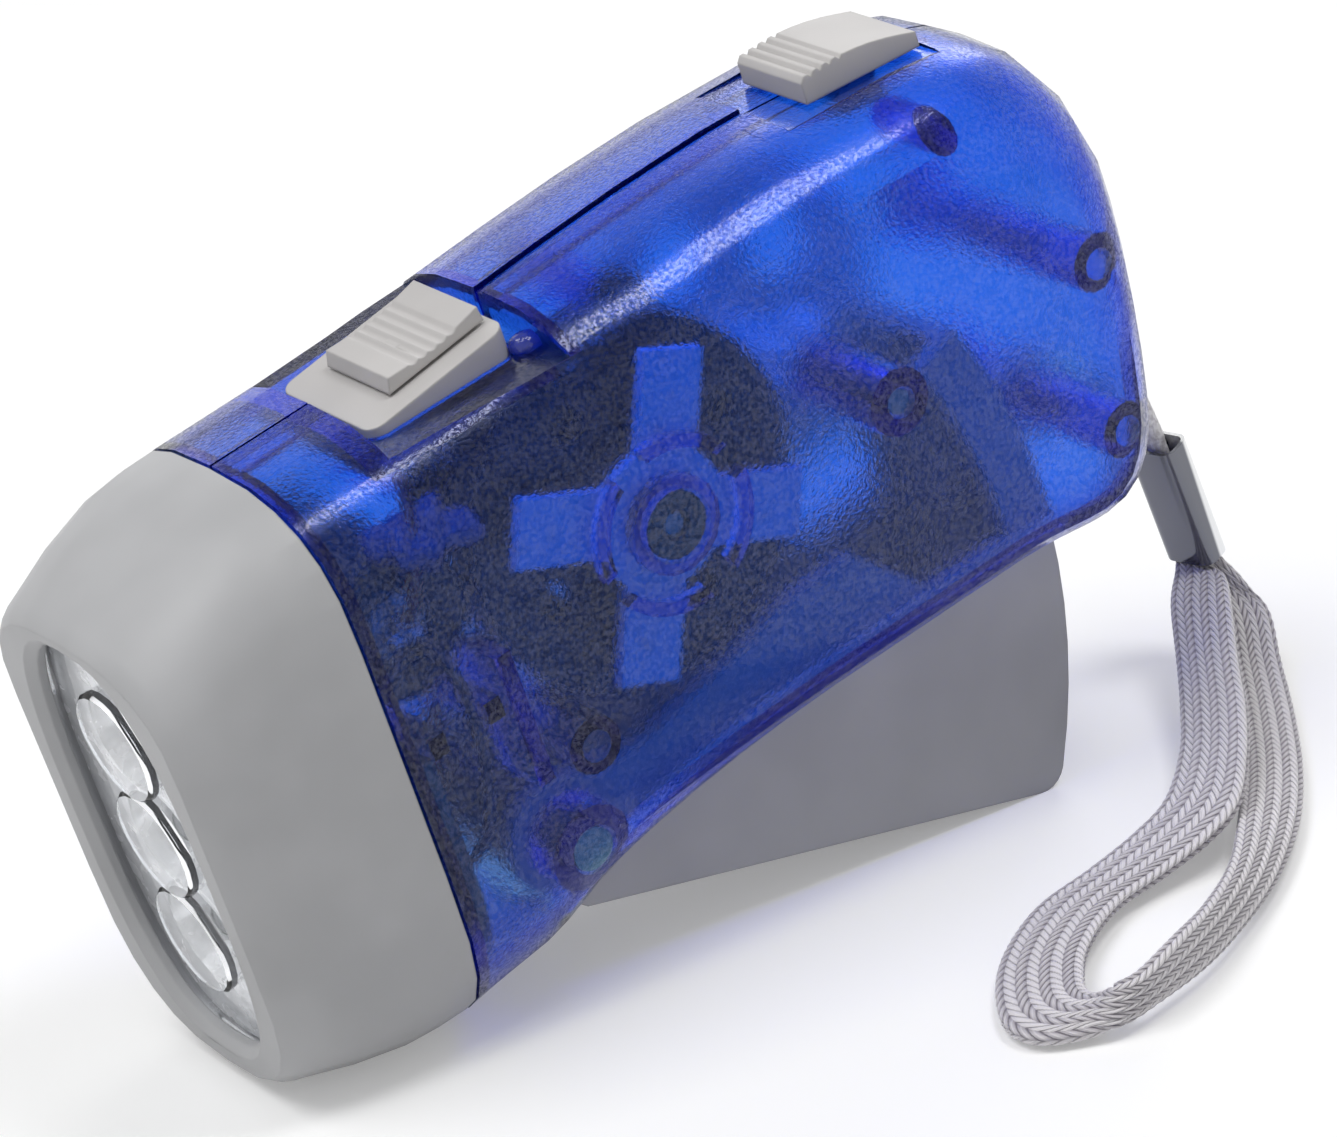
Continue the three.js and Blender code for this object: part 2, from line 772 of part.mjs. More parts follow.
function pocketPad(side) {
  const edge = side * (plateHalfWidth + 3 * shellWall);
  const [low, high] = side < 0 ? [edge, -seamGap / 2] : [seamGap / 2, edge];
  const floorLow = pocketFloor - plateSink - padMargin;
  return [
    solid(box(pocketFront - shellWall, plateStart + plateLength + shellWall / 2, low, high, floorLow, bodyRise)),
    solid(box(pocketRear, pocketRear + shellWall, low, high, pocketFloor - padMargin, bodyRise)),
    solid(box(plateStart + plateLength, pocketRear + shellWall / 2, low, high,
      pocketFloor - padMargin, pocketFloor)),
  ];
}

function roundedPlate(x0, x1, half, corner) {
  const shape = new THREE.Shape();
  shape.moveTo(x0 + corner, -half);
  shape.lineTo(x1 - corner, -half);
  shape.absarc(x1 - corner, -half + corner, corner, -90 * degrees, 0);
  shape.lineTo(x1, half - corner);
  shape.absarc(x1 - corner, half - corner, corner, 0, 90 * degrees);
  shape.lineTo(x0 + corner, half);
  shape.absarc(x0 + corner, half - corner, corner, 90 * degrees, 180 * degrees);
  shape.lineTo(x0, -half + corner);
  shape.absarc(x0 + corner, -half + corner, corner, 180 * degrees, 270 * degrees);
  return shape;
}

function topSolid(shape, low, high, curveSegments = 5) {
  const geometry = new THREE.ExtrudeGeometry(shape, { depth: high - low, bevelEnabled: false, curveSegments });
  geometry.translate(0, 0, low);
  return geometry;
}

const stemX = knobStart + knobLength / 2;

// Slot for the knob's stem, no longer than its travel needs
function stemSlot(low, high) {
  const reach = knobStem / 2 + runningGap;
  return box(stemX - knobTravel - reach, stemX + reach, -knobStem / 2, knobStem / 2, low, high);
}

function pocketCuts() {
  const wide = bodyHalfWidth + overrun;
  return [
    solid(box(pocketFront, pocketRear, -wide, wide, pocketFloor, bodyRise + 3 * overrun)),
    solid(topSolid(roundedPlate(plateStart - seatGap, plateStart + plateLength + seatGap,
      plateHalfWidth + seatGap, plateCorner + seatGap), pocketFloor - plateSink, bodyRise)),
    solid(stemSlot(pocketFloor - 2 * overrun, bodyRise)),
  ];
}

// Recess and slot under the lock slider, on a straight ramp
const lockRecessStart = lockStart - lockTravel - runningGap;
const lockRecessEnd = lockStart + lockLength + runningGap;
const lockFloor = 1.4;

function ramp(x) {
  const [low, high] = [topAt(lockRecessStart, 0), topAt(lockRecessEnd, 0)];
  return low - lockRecess + (high - low) * (x - lockRecessStart) / (lockRecessEnd - lockRecessStart);
}

function rampBand(x0, x1, below, half) {
  return sideSolid(new THREE.Shape([
    new THREE.Vector2(x0, ramp(x0) - below),
    new THREE.Vector2(x1, ramp(x1) - below),
    new THREE.Vector2(x1, bodyRise + 3 * overrun),
    new THREE.Vector2(x0, bodyRise + 3 * overrun),
  ]), -half, half);
}

function lockPad(side) {
  const pad = solid(rampBand(lockRecessStart - shellWall, lockRecessEnd + shellWall, lockFloor,
    lockRecessHalfWidth + shellWall));
  const keep = side < 0
    ? box(0, bodyLength, -bodyHalfWidth, -seamGap / 2, 0, 2 * bodyRise)
    : box(0, bodyLength, seamGap / 2, bodyHalfWidth, 0, 2 * bodyRise);
  return pad.intersect(solid(keep));
}

function lockCuts() {
  const footFront = lockStart + lockLength / 2;
  return [
    solid(rampBand(lockRecessStart, lockRecessEnd, 0, lockRecessHalfWidth)),
    solid(box(footFront - lockTravel - runningGap, footFront + lockFootLength + runningGap,
      -lockSlotHalfWidth, lockSlotHalfWidth, bodyRise - 4 * overrun, bodyRise + 2 * overrun)),
  ];
}

// Neck that carries the head
function neckTube() {
  const inset = bezelWall + seatGap;
  const outer = solid(headSlice(neckStart, headLength, inset));
  const stub = solid(headSlice(headLength - overrun, headLength, inset, 1)).translate([overrun / 2, 0, 0]);
  const inner = solid(headSlice(neckStart, headLength, inset + shellWall));
  const innerStub = solid(headSlice(headLength - overrun, headLength, inset + shellWall, 1));
  const hole = join(inner, innerStub.translate([overrun, 0, 0]), innerStub.translate([overrun / 2, 0, 0]),
    solid(headSlice(neckStart, neckStart + overrun, inset + shellWall, 1)).translate([-overrun / 2, 0, 0]));
  return outer.add(stub).subtract(hole);
}

// Step that joins the neck to the wider body
function frontFlange() {
  const section = (x, inset) => headRow(x / headLength, 1, 1, inset);
  const end = headLength + shellWall;
  const plate = solid(loft([section(headLength, 0), section(end, 0)]));
  const inset = bezelWall + seatGap + shellWall;
  return plate.subtract(solid(loft([section(neckStart, inset), section(end + overrun, inset)])));
}

function makeShell(side, name) {
  const outer = solid(bodyHalf(side));
  let body = outer.subtract(solid(bodyCavity(side)));
  const extras = [...shellDetails(side), ...pocketPad(side), lockPad(side)];
  body = body.add(join(...extras).intersect(outer));
  const half = side < 0
    ? box(-overrun, bodyLength + overrun, -2 * bodyHalfWidth, -seamGap / 2, -2 * bodyRise, 2 * bodyRise)
    : box(-overrun, bodyLength + overrun, seamGap / 2, 2 * bodyHalfWidth, -2 * bodyRise, 2 * bodyRise);
  body = body.add(join(neckTube(), frontFlange().intersect(outer)).intersect(solid(half)));
  body = cut(body, leverRoom(), ...pocketCuts(), ...lockCuts(), strapHole(), ...bores(side));
  if (side < 0) {
    body = body.subtract(seamBand(pocketRear, lockRecessStart, -overrun, seamStepDepth,
      -seamStepWidth - seamGap / 2, 0));
  }
  place(name, toGeometry(body), clearBlue);
}

function bores(side) {
  const toWall = (inner, skin) => (side < 0
    ? [-bodyHalfWidth + skin, -inner]
    : [inner, bodyHalfWidth - skin]);
  const skin = wallSkin;
  const cuts = [
    solid(rod(pinRadius + seatGap, ...toWall(-overrun, skin), pivot.x, pivot.y)),
    solid(rod(axleRadius + seatGap, ...toWall(-overrun, skin), axle.x, axle.y)),
    solid(rod(bushRadius + seatGap, ...toWall(-overrun, skin), hub.x, hub.y)),
  ];
  for (const ear of side > 0 ? bracketEars() : []) {
    cuts.push(solid(rod(bracketScrewRadius + seatGap, 0, bracketPostEnd + 2 * overrun, ear.x, ear.y, 14)));
  }
  for (const post of screwPosts) {
    if (side < 0) {
      cuts.push(solid(rod(screwRadius + seatGap, ...toWall(-overrun, skin), post.x, post.y)));
    } else {
      cuts.push(solid(rod(screwRadius + seatGap, ...toWall(-overrun, -overrun), post.x, post.y)));
      const headLow = postHeadSeat - seatGap;
      cuts.push(solid(rod(screwHeadRadius + seatGap, headLow, 2 * bodyHalfWidth, post.x, post.y)));
    }
  }
  return cuts;
}
const screwWellDepth = 3.6;
const postHeadSeat = bodyHalfWidth - screwWellDepth;
const wellWall = 1;

// Strap hole low in the tail
const strapHoleRadius = 2.1;
const strapHoleDrop = 12;
const strapHoleSlope = 28;

function strapHole() {
  const geometry = new THREE.CylinderGeometry(strapHoleRadius, strapHoleRadius, 7 * overrun, 20);
  geometry.rotateZ(90 * degrees);
  geometry.rotateY(strapHoleSlope * degrees);
  geometry.translate(bodyLength - overrun, 0, -strapHoleDrop);
  return solid(geometry);
}

// Screws enter from the right shell
function makeScrews() {
  screwPosts.forEach((post, i) => {
    const head = solid(rod(screwHeadRadius, postHeadSeat, postHeadSeat + screwHeadHeight, post.x, post.y));
    const shank = solid(rod(screwRadius, postHeadSeat - screwLength, postHeadSeat + overrun / 4, post.x, post.y, 16));
    place(`case_screw_${i + 1}`, toGeometry(head.add(shank)), steel);
  });
}

// Lever, drawn in the closed position about its pivot and turned open by its stroke
function leverPoint(u, v) {
  return new THREE.Vector2(u, v);
}

const origin = new THREE.Vector2(0, 0);
// Closed-position places along the top edge of the side walls: radius share of the reach, bearing in degrees.
const leverTopShares = [
  [0.2, 41],
  [0.41, 36.6],
  [0.51, 36.6],
  [0.64, 34],
  [0.75, 21],
];

function leverOutline() {
  const points = [];
  for (let angle = 60; angle <= 250; angle += 19) points.push(polar(origin, earRadius, angle));
  points.push(leverPoint(earRadius * 0.5, -leverDepth));
  const heelCentreReach = leverReach - leverHeelRadius;
  const heelV = -leverDepth + leverHeelRadius;
  const heel = leverPoint(Math.sqrt(heelCentreReach ** 2 - heelV ** 2), heelV);
  const heelEnd = Math.asin(heelV / heelCentreReach) / degrees;
  for (let step = 0; step <= 5; step += 1) {
    points.push(polar(heel, leverHeelRadius, -90 + (heelEnd + 90) * step / 5));
  }
  const arcSteps = 12;
  for (let step = 1; step <= arcSteps; step += 1) {
    points.push(polar(origin, leverReach, heelEnd + (leverTopAngle - heelEnd) * step / arcSteps));
  }
  const cheek = leverReach - leverCheek;
  for (let step = 6; step >= 0; step -= 1) {
    const low = leverTopShares[leverTopShares.length - 1][1];
    points.push(polar(origin, cheek, low + (leverTopAngle - low) * step / 6));
  }
  for (const [share, bearing] of [...leverTopShares].reverse()) {
    points.push(polar(origin, share * leverReach, bearing));
  }
  return points;
}

function leverHollow() {
  const inner = leverReach - leverFloor;
  const floor = -leverDepth + leverFloor;
  const start = Math.asin(floor / inner) / degrees;
  const points = [leverPoint(-2 * earRadius, floor)];
  const steps = 14;
  const top = leverTopAngle + leverStroke;
  for (let step = 0; step <= steps; step += 1) {
    points.push(polar(origin, inner, start + (top - start) * step / steps));
  }
  points.push(leverPoint(-2 * earRadius, leverReach));
  return points;
}

function toothHalfAngle(teeth, radius) {
  const pressure = 20 * degrees;
  const pitchRadius = teeth * toothModule / 2;
  const base = pitchRadius * Math.cos(pressure);
  const roll = radius > base ? Math.acos(base / radius) : 0;
  const involute = (angle) => Math.tan(angle) - angle;
  return (90 * degrees / teeth + involute(pressure) - involute(roll)) / degrees;
}

function playAngle(teeth) {
  return backlash / (teeth * toothModule) / degrees;
}

// Inside-toothed rack on the lever's rear arc
function sectorOutline() {
  const tip = sectorRadius - 0.6 * toothModule;
  const pitchAngle = 360 / sectorTeeth;
  const contact = driveBearing + leverStroke;
  const points = [];
  const low = contact - (sectorCut - 1) * pitchAngle - 0.9 * pitchAngle;
  points.push(polar(origin, tip, low));
  for (let space = sectorCut - 1; space >= 0; space -= 1) {
    const centre = contact - space * pitchAngle;
    for (const radius of [tip, sectorRadius, sectorRoot]) {
      const half = toothHalfAngle(sectorTeeth, radius) + playAngle(sectorTeeth) / 2;
      points.push(polar(origin, radius, centre - half));
    }
    for (const radius of [sectorRoot, sectorRadius, tip]) {
      const half = toothHalfAngle(sectorTeeth, radius) + playAngle(sectorTeeth) / 2;
      points.push(polar(origin, radius, centre + half));
    }
  }
  const high = contact + 0.63 * pitchAngle;
  points.push(polar(origin, tip, high));
  const wallBack = leverReach - leverFloor + seatGap;
  const freeBack = sectorRoot + rackBacking;
  points.push(polar(origin, freeBack, high));
  points.push(polar(origin, freeBack, leverTopAngle - 1));
  for (let step = 6; step >= 0; step -= 1) {
    points.push(polar(origin, wallBack, low + (leverTopAngle - 1 - low) * step / 6));
  }
  return points;
}

function makeLever() {
  const outline = new THREE.Shape(leverOutline());
  const hollow = new THREE.Shape(leverHollow());
  const inner = leverHalfWidth - leverWall;
  let body = cut(
    solid(sideSolid(outline, -leverHalfWidth, leverHalfWidth)),
    solid(sideSolid(hollow, -inner, inner)));
  const rack = new THREE.Shape(sectorOutline());
  body = body.add(solid(sideSolid(rack, -sectorHalfWidth, sectorHalfWidth)));
  const bore = rod(pinRadius + seatGap, -2 * leverHalfWidth, 2 * leverHalfWidth, 0, 0);
  body = body.subtract(solid(bore));
  const geometry = toGeometry(body);
  geometry.rotateY(leverStroke * degrees);
  geometry.translate(pivot.x, 0, pivot.y);
  place('lever', geometry, leverGrey);
}

function makePivotPin() {
  const end = bodyHalfWidth - shellWall;
  place('lever_pin', rod(pinRadius, -end, end, pivot.x, pivot.y), steel);
}

// Torsion spring round the pivot pin: one leg on the lever's floor, the other under a rib of the right shell
function springPoints(radius, width) {
  const start = springHangAngle - leverStroke;
  const steps = springCurls * springCurlSteps;
  const at = (angle, y) => {
    const point = polar(origin, radius, angle);
    return new THREE.Vector3(point.x, y, point.y);
  };
  const along = polar(origin, 1, -leverStroke);
  const down = polar(origin, 1, start);
  const drop = leverDepth - leverFloor - springWire / 2 - seatGap - radius;
  const leg = (reachShare, dropShare) => at(start, -width / 2).add(new THREE.Vector3(
    along.x * springLeg * reachShare + down.x * drop * dropShare,
    0,
    along.y * springLeg * reachShare + down.y * drop * dropShare));
  const points = [leg(1, 1), leg(0.5, 0.6)];
  for (let step = 0; step <= steps; step += 1) {
    points.push(at(start - step * 360 / springCurlSteps, -width / 2 + width * step / steps));
  }
  const end = points[points.length - 1];
  for (const share of [0.5, 1]) {
    points.push(new THREE.Vector3(
      end.x - along.x * springFrontLeg * share, end.y, end.z - along.y * springFrontLeg * share));
  }
  return points;
}

// Tube of a few-sided section swept through points by parallel transport, capped at both ends.
function sweep(points, section, startNormal) {
  const rings = [];
  let normal = startNormal.clone();
  points.forEach((point, i) => {
    const before = points[Math.max(i - 1, 0)];
    const after = points[Math.min(i + 1, points.length - 1)];
    const tangent = after.clone().sub(before).normalize();
    normal = normal.addScaledVector(tangent, -normal.dot(tangent)).normalize();
    const binormal = tangent.clone().cross(normal);
    rings.push(section.map(([across, up]) => point.clone()
      .addScaledVector(binormal, across)
      .addScaledVector(normal, up)));
  });
  return tubeFromRings(rings);
}

function tubeFromRings(rings) {
  const count = rings[0].length;
  const centre = (ring) => ring.reduce((sum, point) => sum.add(point), new THREE.Vector3()).divideScalar(count);
  const all = [...rings.flat(), centre(rings[0]), centre(rings[rings.length - 1])];
  const positions = all.flatMap((point) => [point.x, point.y, point.z]);
  const index = [];
  const head = all.length - 2;
  const tail = all.length - 1;
  const lastRing = (rings.length - 1) * count;
  for (let step = 0; step < count; step += 1) {
    const next = (step + 1) % count;
    for (let i = 0; i + 1 < rings.length; i += 1) {
      const a = i * count + step;
      const b = i * count + next;
      index.push(a, b, b + count, a, b + count, a + count);
    }
    index.push(head, next, step, tail, lastRing + step, lastRing + next);
  }
  return outward(positions, index);
}

function roundSection(radius, sides) {
  return Array.from({ length: sides }, (unused, i) => [
    radius * Math.cos(i / sides * 360 * degrees), radius * Math.sin(i / sides * 360 * degrees)]);
}

// Least clear distance of a bent wire to itself, measured between its points that lie half a curl or more apart
function leastSelfGap(points, wire, apart) {
  let least = Infinity;
  points.forEach((point, i) => {
    for (const other of points.slice(i + apart)) least = Math.min(least, point.distanceTo(other));
  });
  return least - wire;
}

function makeSpring() {
  const radius = pinRadius + seatGap + springWire;
  const points = springPoints(radius, springCurls * springPitch);
  console.log(`return_spring: least gap to itself ${leastSelfGap(points, springWire, springCurlSteps / 2).toFixed(3)}`);
  const geometry = sweep(points, roundSection(springWire / 2, springSides), new THREE.Vector3(0, 1, 0));
  geometry.translate(pivot.x, 0, pivot.y);
  place('return_spring', geometry, steel);
}

// Gears
function gearShape(teeth, bore, toothAngle, flanks = []) {
  const pitchRadius = teeth * toothModule / 2;
  const root = pitchRadius - 1.2 * toothModule;
  const tip = pitchRadius + toothModule;
  const radii = [root, ...flanks, tip];
  const points = [];
  for (let tooth = 0; tooth < teeth; tooth += 1) {
    const centre = toothAngle + tooth * 360 / teeth;
    for (const radius of radii) {
      points.push(polar(origin, radius, centre - toothHalfAngle(teeth, radius) + playAngle(teeth) / 2));
    }
    for (const radius of [...radii].reverse()) {
      points.push(polar(origin, radius, centre + toothHalfAngle(teeth, radius) - playAngle(teeth) / 2));
    }
  }
  const shape = new THREE.Shape(points);
  const hole = new THREE.Path();
  hole.absarc(0, 0, bore, 0, 360 * degrees, true);
  shape.holes.push(hole);
  return shape;
}

function makeDriveGear() {
  const bore = axleRadius + seatGap;
  const pinion = solid(sideSolid(gearShape(drivePinionTeeth, bore, driveBearing, [drivePinionRadius]),
    -sectorHalfWidth, sectorHalfWidth, 10));
  const gear = solid(sideSolid(gearShape(driveGearTeeth, bore, flyBearing), gearLow, gearHigh, 10));
  const sleeve = solid(ring(sleeveRadius, bore, sectorHalfWidth - seatGap, gearLow + seatGap, 0, 0, 20));
  let body = join(pinion, gear, sleeve);
  const windowReach = driveGearRadius * 0.58;
  for (let window = 0; window < 5; window += 1) {
    const centre = polar(origin, windowReach, window * 72 + 36);
    body = body.subtract(solid(rod(driveGearRadius * 0.22, gearLow - seatGap, gearHigh + seatGap,
      centre.x, centre.y, 14)));
  }
  const geometry = toGeometry(body);
  geometry.translate(axle.x, 0, axle.y);
  place('drive_gear', geometry, whiteNylon);
}

function makeAxle() {
  const end = bodyHalfWidth - shellWall;
  place('gear_axle', rod(axleRadius, -end, end, axle.x, axle.y, 16), steel);
}

// Flywheel stack from the left shell inwards: spider, iron cup, magnet
const spiderHigh = -leverHalfWidth - 2.5 * runningGap;
const spiderLow = spiderHigh - spiderThickness;
const cupLow = -leverHalfWidth + leverWall + runningGap;
const cupHigh = cupLow + rimDepth;
const magnetLow = cupLow + webThickness + seatGap;
const coreLow = cupLow + webThickness + runningGap;

function makeFlywheel() {
  const cupHub = bushRadius;
  let cup = cut(
    solid(rod(flyRadius, cupLow, cupHigh, 0, 0, 36)),
    solid(rod(flyRadius - rimThickness, cupLow + webThickness, cupHigh + overrun, 0, 0, 36)));
  cup = cup.add(solid(rod(cupHub, cupLow, cupLow + webThickness + seatGap, 0, 0, 20)));
  for (let window = 0; window < 4; window += 1) {
    const centre = polar(origin, flyRadius * 0.66, spiderTurn + 45 + window * 90);
    cup = cup.subtract(solid(rod(flyRadius * 0.1, cupLow - overrun, cupLow + 2 * webThickness,
      centre.x, centre.y, 12)));
  }
  cup = cup.subtract(solid(rod(shaftRadius + seatGap, cupLow - overrun, cupHigh, 0, 0, 16)));
  place('flywheel_cup', shifted(toGeometry(cup), hub), darkIron);

  let spider = solid(rod(spiderHub, spiderLow, spiderHigh, 0, 0, 32))
    .add(solid(rod(spiderBoss, spiderLow, cupLow - seatGap, 0, 0, 24)));
  for (let arm = 0; arm < 2; arm += 1) {
    const bar = box(-spiderReach, spiderReach, spiderLow, spiderHigh, -spiderArm / 2, spiderArm / 2);
    bar.rotateY(-(spiderTurn + arm * 90) * degrees);
    spider = spider.add(solid(bar));
  }
  spider = spider.subtract(solid(rod(shaftRadius + seatGap, spiderLow - overrun, cupLow, 0, 0, 16)));
  place('flywheel_spider', shifted(toGeometry(spider), hub), whiteNylon);

  place('magnet_ring', shifted(ring(magnetRadius, magnetRadius - magnetWall, magnetLow, cupHigh, 0, 0), hub),
    darkIron);
  const shaftEnd = bodyHalfWidth - shellWall - seatGap;
  place('flywheel_shaft', shifted(rod(shaftRadius, -shaftEnd, shaftEnd, 0, 0, 16), hub), steel);
  place('flywheel_pinion', shifted(sideSolid(
    gearShape(flyPinionTeeth, shaftRadius + seatGap, flyBearing + 180 + 180 / flyPinionTeeth),
    gearLow, gearHigh, 8), hub), whiteNylon);
}

function shifted(geometry, place2) {
  geometry.translate(place2.x, 0, place2.y);
  return geometry;
}

function makeBushes() {
  const outer = bodyHalfWidth - wallSkin - seatGap;
  place('shaft_bush_left', ring(bushRadius, shaftRadius + seatGap, -outer, -bushEndLeft, hub.x, hub.y, 20),
    blackPlastic);
  place('shaft_bush_right', ring(bushRadius, shaftRadius + seatGap, gearHigh + runningGap, outer, hub.x, hub.y, 20),
    blackPlastic);
}

// Claw-pole dynamo inside the magnet ring
function clawPole(low, high, clawLow, clawHigh, turn) {
  const inner = coreRadius - webThickness;
  let body = solid(ring(inner, shaftRadius + 2 * seatGap, low, high, 0, 0, 24));
  for (let pole = 0; pole < poleCount; pole += 1) {
    const half = 360 / poleCount / 2 * 0.36;
    const centre = turn + pole * 360 / poleCount;
    const shape = new THREE.Shape([
      polar(origin, inner - webThickness, centre - half), polar(origin, coreRadius, centre - half),
      polar(origin, coreRadius, centre), polar(origin, coreRadius, centre + half),
      polar(origin, inner - webThickness, centre + half)]);
    const foot = solid(sideSolid(shape, low, high));
    const outerShape = new THREE.Shape([
      polar(origin, inner, centre - half), polar(origin, coreRadius, centre - half),
      polar(origin, coreRadius, centre), polar(origin, coreRadius, centre + half),
      polar(origin, inner, centre + half)]);
    body = join(body, foot, solid(sideSolid(outerShape, clawLow, clawHigh)));
  }
  return toGeometry(body);
}

function makeDynamo() {
  const low = coreLow;
  const high = coreLow + coreDepth;
  place('claw_pole_outer', shifted(clawPole(low, low + webThickness, low, high - 2 * webThickness, 0), hub),
    darkIron);
  place('claw_pole_inner', shifted(clawPole(high - webThickness, high, low + 2 * webThickness, high,
    180 / poleCount), hub), darkIron);
  const spoolLow = low + webThickness + seatGap;
  const spoolHigh = high - webThickness - seatGap;
  const spoolOuter = coreRadius - 2 * webThickness - seatGap;
  const flange = webThickness / 2;
  const spool = solid(ring(spoolOuter, 2 * shaftRadius, spoolLow, spoolHigh, 0, 0, 22))
    .subtract(solid(ring(spoolOuter + overrun, 3 * shaftRadius, spoolLow + flange, spoolHigh - flange, 0, 0, 22)));
  place('coil_spool', shifted(toGeometry(spool), hub), whiteNylon);
  place('coil_winding', shifted(ring(spoolOuter - seatGap, 3 * shaftRadius + seatGap, spoolLow + flange + seatGap,
    spoolHigh - flange - seatGap, 0, 0, 22), hub), copper);
  makeBracket(high);
}

// Bracket plate that holds the dynamo's core on two posts of the right shell
const bracketThickness = 1.6;
const bracketEar = 2.6;
const bracketAngles = [55, 150];
const bracketReach = 15.5;
const bracketScrewRadius = 0.8;
const bracketPostRadius = 2.2;
const bracketPostEnd = coreLow + coreDepth + bracketThickness + 2 * seatGap;

function bracketEars() {
  return bracketAngles.map((angle) => polar(hub, bracketReach, angle));
}

function makeBracket(high) {
  const low = high + seatGap;
  const top = low + bracketThickness;
  let plate = solid(rod(coreRadius, low, top, hub.x, hub.y, 24));
  for (const ear of bracketEars()) {
    plate = plate.add(solid(rod(bracketEar, low, top, ear.x, ear.y)));
    const along = ear.clone().sub(hub);
    const bar = box(0, along.length(), low, top, -bracketEar * 0.8, bracketEar * 0.8);
    bar.rotateY(-Math.atan2(along.y, along.x));
    bar.translate(hub.x, 0, hub.y);
    plate = plate.add(solid(bar));
  }
  plate = plate.subtract(solid(rod(shaftRadius + 2 * seatGap, low - overrun, top + overrun, hub.x, hub.y, 16)));
  const headRadius = bracketScrewRadius * 2;
  const headHeight = bracketThickness / 2 - seatGap;
  for (const ear of bracketEars()) {
    plate = plate.subtract(solid(rod(bracketScrewRadius + seatGap, low - overrun, top + overrun, ear.x, ear.y, 14)));
    plate = plate.subtract(solid(rod(headRadius + seatGap, low - overrun, low + bracketThickness / 2,
      ear.x, ear.y, 16)));
  }
  place('dynamo_bracket', toGeometry(plate), blackPlastic);
  bracketEars().forEach((ear, i) => {
    const head = solid(rod(headRadius, low, low + headHeight, ear.x, ear.y, 16));
    const shank = solid(rod(bracketScrewRadius, low + headHeight / 2, top + overrun * 2, ear.x, ear.y, 12));
    place(`bracket_screw_${i + 1}`, toGeometry(head.add(shank)), steel);
  });
}

// Switch plate, knob and slide switch
const plateSlope = Math.atan2(plateRiseRear - plateRiseFront, plateLength);

function makeSwitch() {
  const low = pocketFloor - plateSink + seatGap;
  const block = solid(topSolid(roundedPlate(plateStart, plateStart + plateLength, plateHalfWidth, plateCorner),
    low, plateRiseRear + overrun));
  const wedge = new THREE.Shape();
  wedge.moveTo(plateStart - overrun, plateRiseFront - overrun * Math.tan(plateSlope));
  wedge.lineTo(plateStart + plateLength + overrun, plateRiseRear + overrun * Math.tan(plateSlope));
  wedge.lineTo(plateStart + plateLength + overrun, plateRiseRear + 3 * overrun);
  wedge.lineTo(plateStart - overrun, plateRiseRear + 3 * overrun);
  const plate = cut(block, solid(sideSolid(wedge, -bodyHalfWidth, bodyHalfWidth)), solid(stemSlot(0, 2 * bodyRise)));
  place('switch_plate', toGeometry(plate), buttonGrey);

  const surface = (x) => plateRiseFront + (x - plateStart) * Math.tan(plateSlope) + seatGap;
  const knobEnd = knobStart + knobLength;
  const profile = new THREE.Shape();
  profile.moveTo(knobStart, surface(knobStart));
  profile.lineTo(knobEnd, surface(knobEnd));
  profile.lineTo(knobEnd - knobHeight * 0.15, surface(knobEnd) + knobHeight);
  const ribPitch = knobLength * 0.1;
  const firstRib = knobStart + knobLength * 0.2;
  const dish = (x) => {
    const share = (x - knobStart) / knobLength;
    return surface(x) + knobHeight * (1 - 0.3 * Math.sin(share * 180 * degrees));
  };
  for (let rib = knobRibs; rib >= 0; rib -= 1) {
    const x = firstRib + rib * ribPitch;
    profile.lineTo(x + ribPitch * 0.45, dish(x + ribPitch * 0.45));
    if (rib > 0) {
      profile.lineTo(x + ribPitch * 0.1, dish(x) - knobHeight * 0.16);
      profile.lineTo(x - ribPitch * 0.2, dish(x) - knobHeight * 0.16);
    }
  }
  profile.lineTo(knobStart + knobHeight * 0.25, dish(knobStart + knobHeight * 0.25));
  const stem = box(stemX - knobStem / 2, stemX + knobStem / 2, -knobStem * 0.3, knobStem * 0.3,
    canTop - canHeight * 0.25, surface(stemX) + knobHeight / 2);
  const knob = solid(sideSolid(profile, -knobHalfWidth, knobHalfWidth)).add(solid(stem));
  place('switch_knob', toGeometry(knob), buttonGrey);

  const can = cut(
    solid(box(stemX - canLength / 2 - knobTravel / 2, stemX + canLength / 2 - knobTravel / 2,
      -canHalfWidth, canHalfWidth, canTop - canHeight, canTop)),
    solid(box(stemX - knobTravel - knobStem * 0.75, stemX + knobStem * 0.75, -knobStem / 2, knobStem / 2,
      canTop - canHeight * 0.45, canTop + overrun)));
  place('switch_body', toGeometry(can), steel);
}
const canTop = pocketFloor - plateSink - padMargin - seatGap;

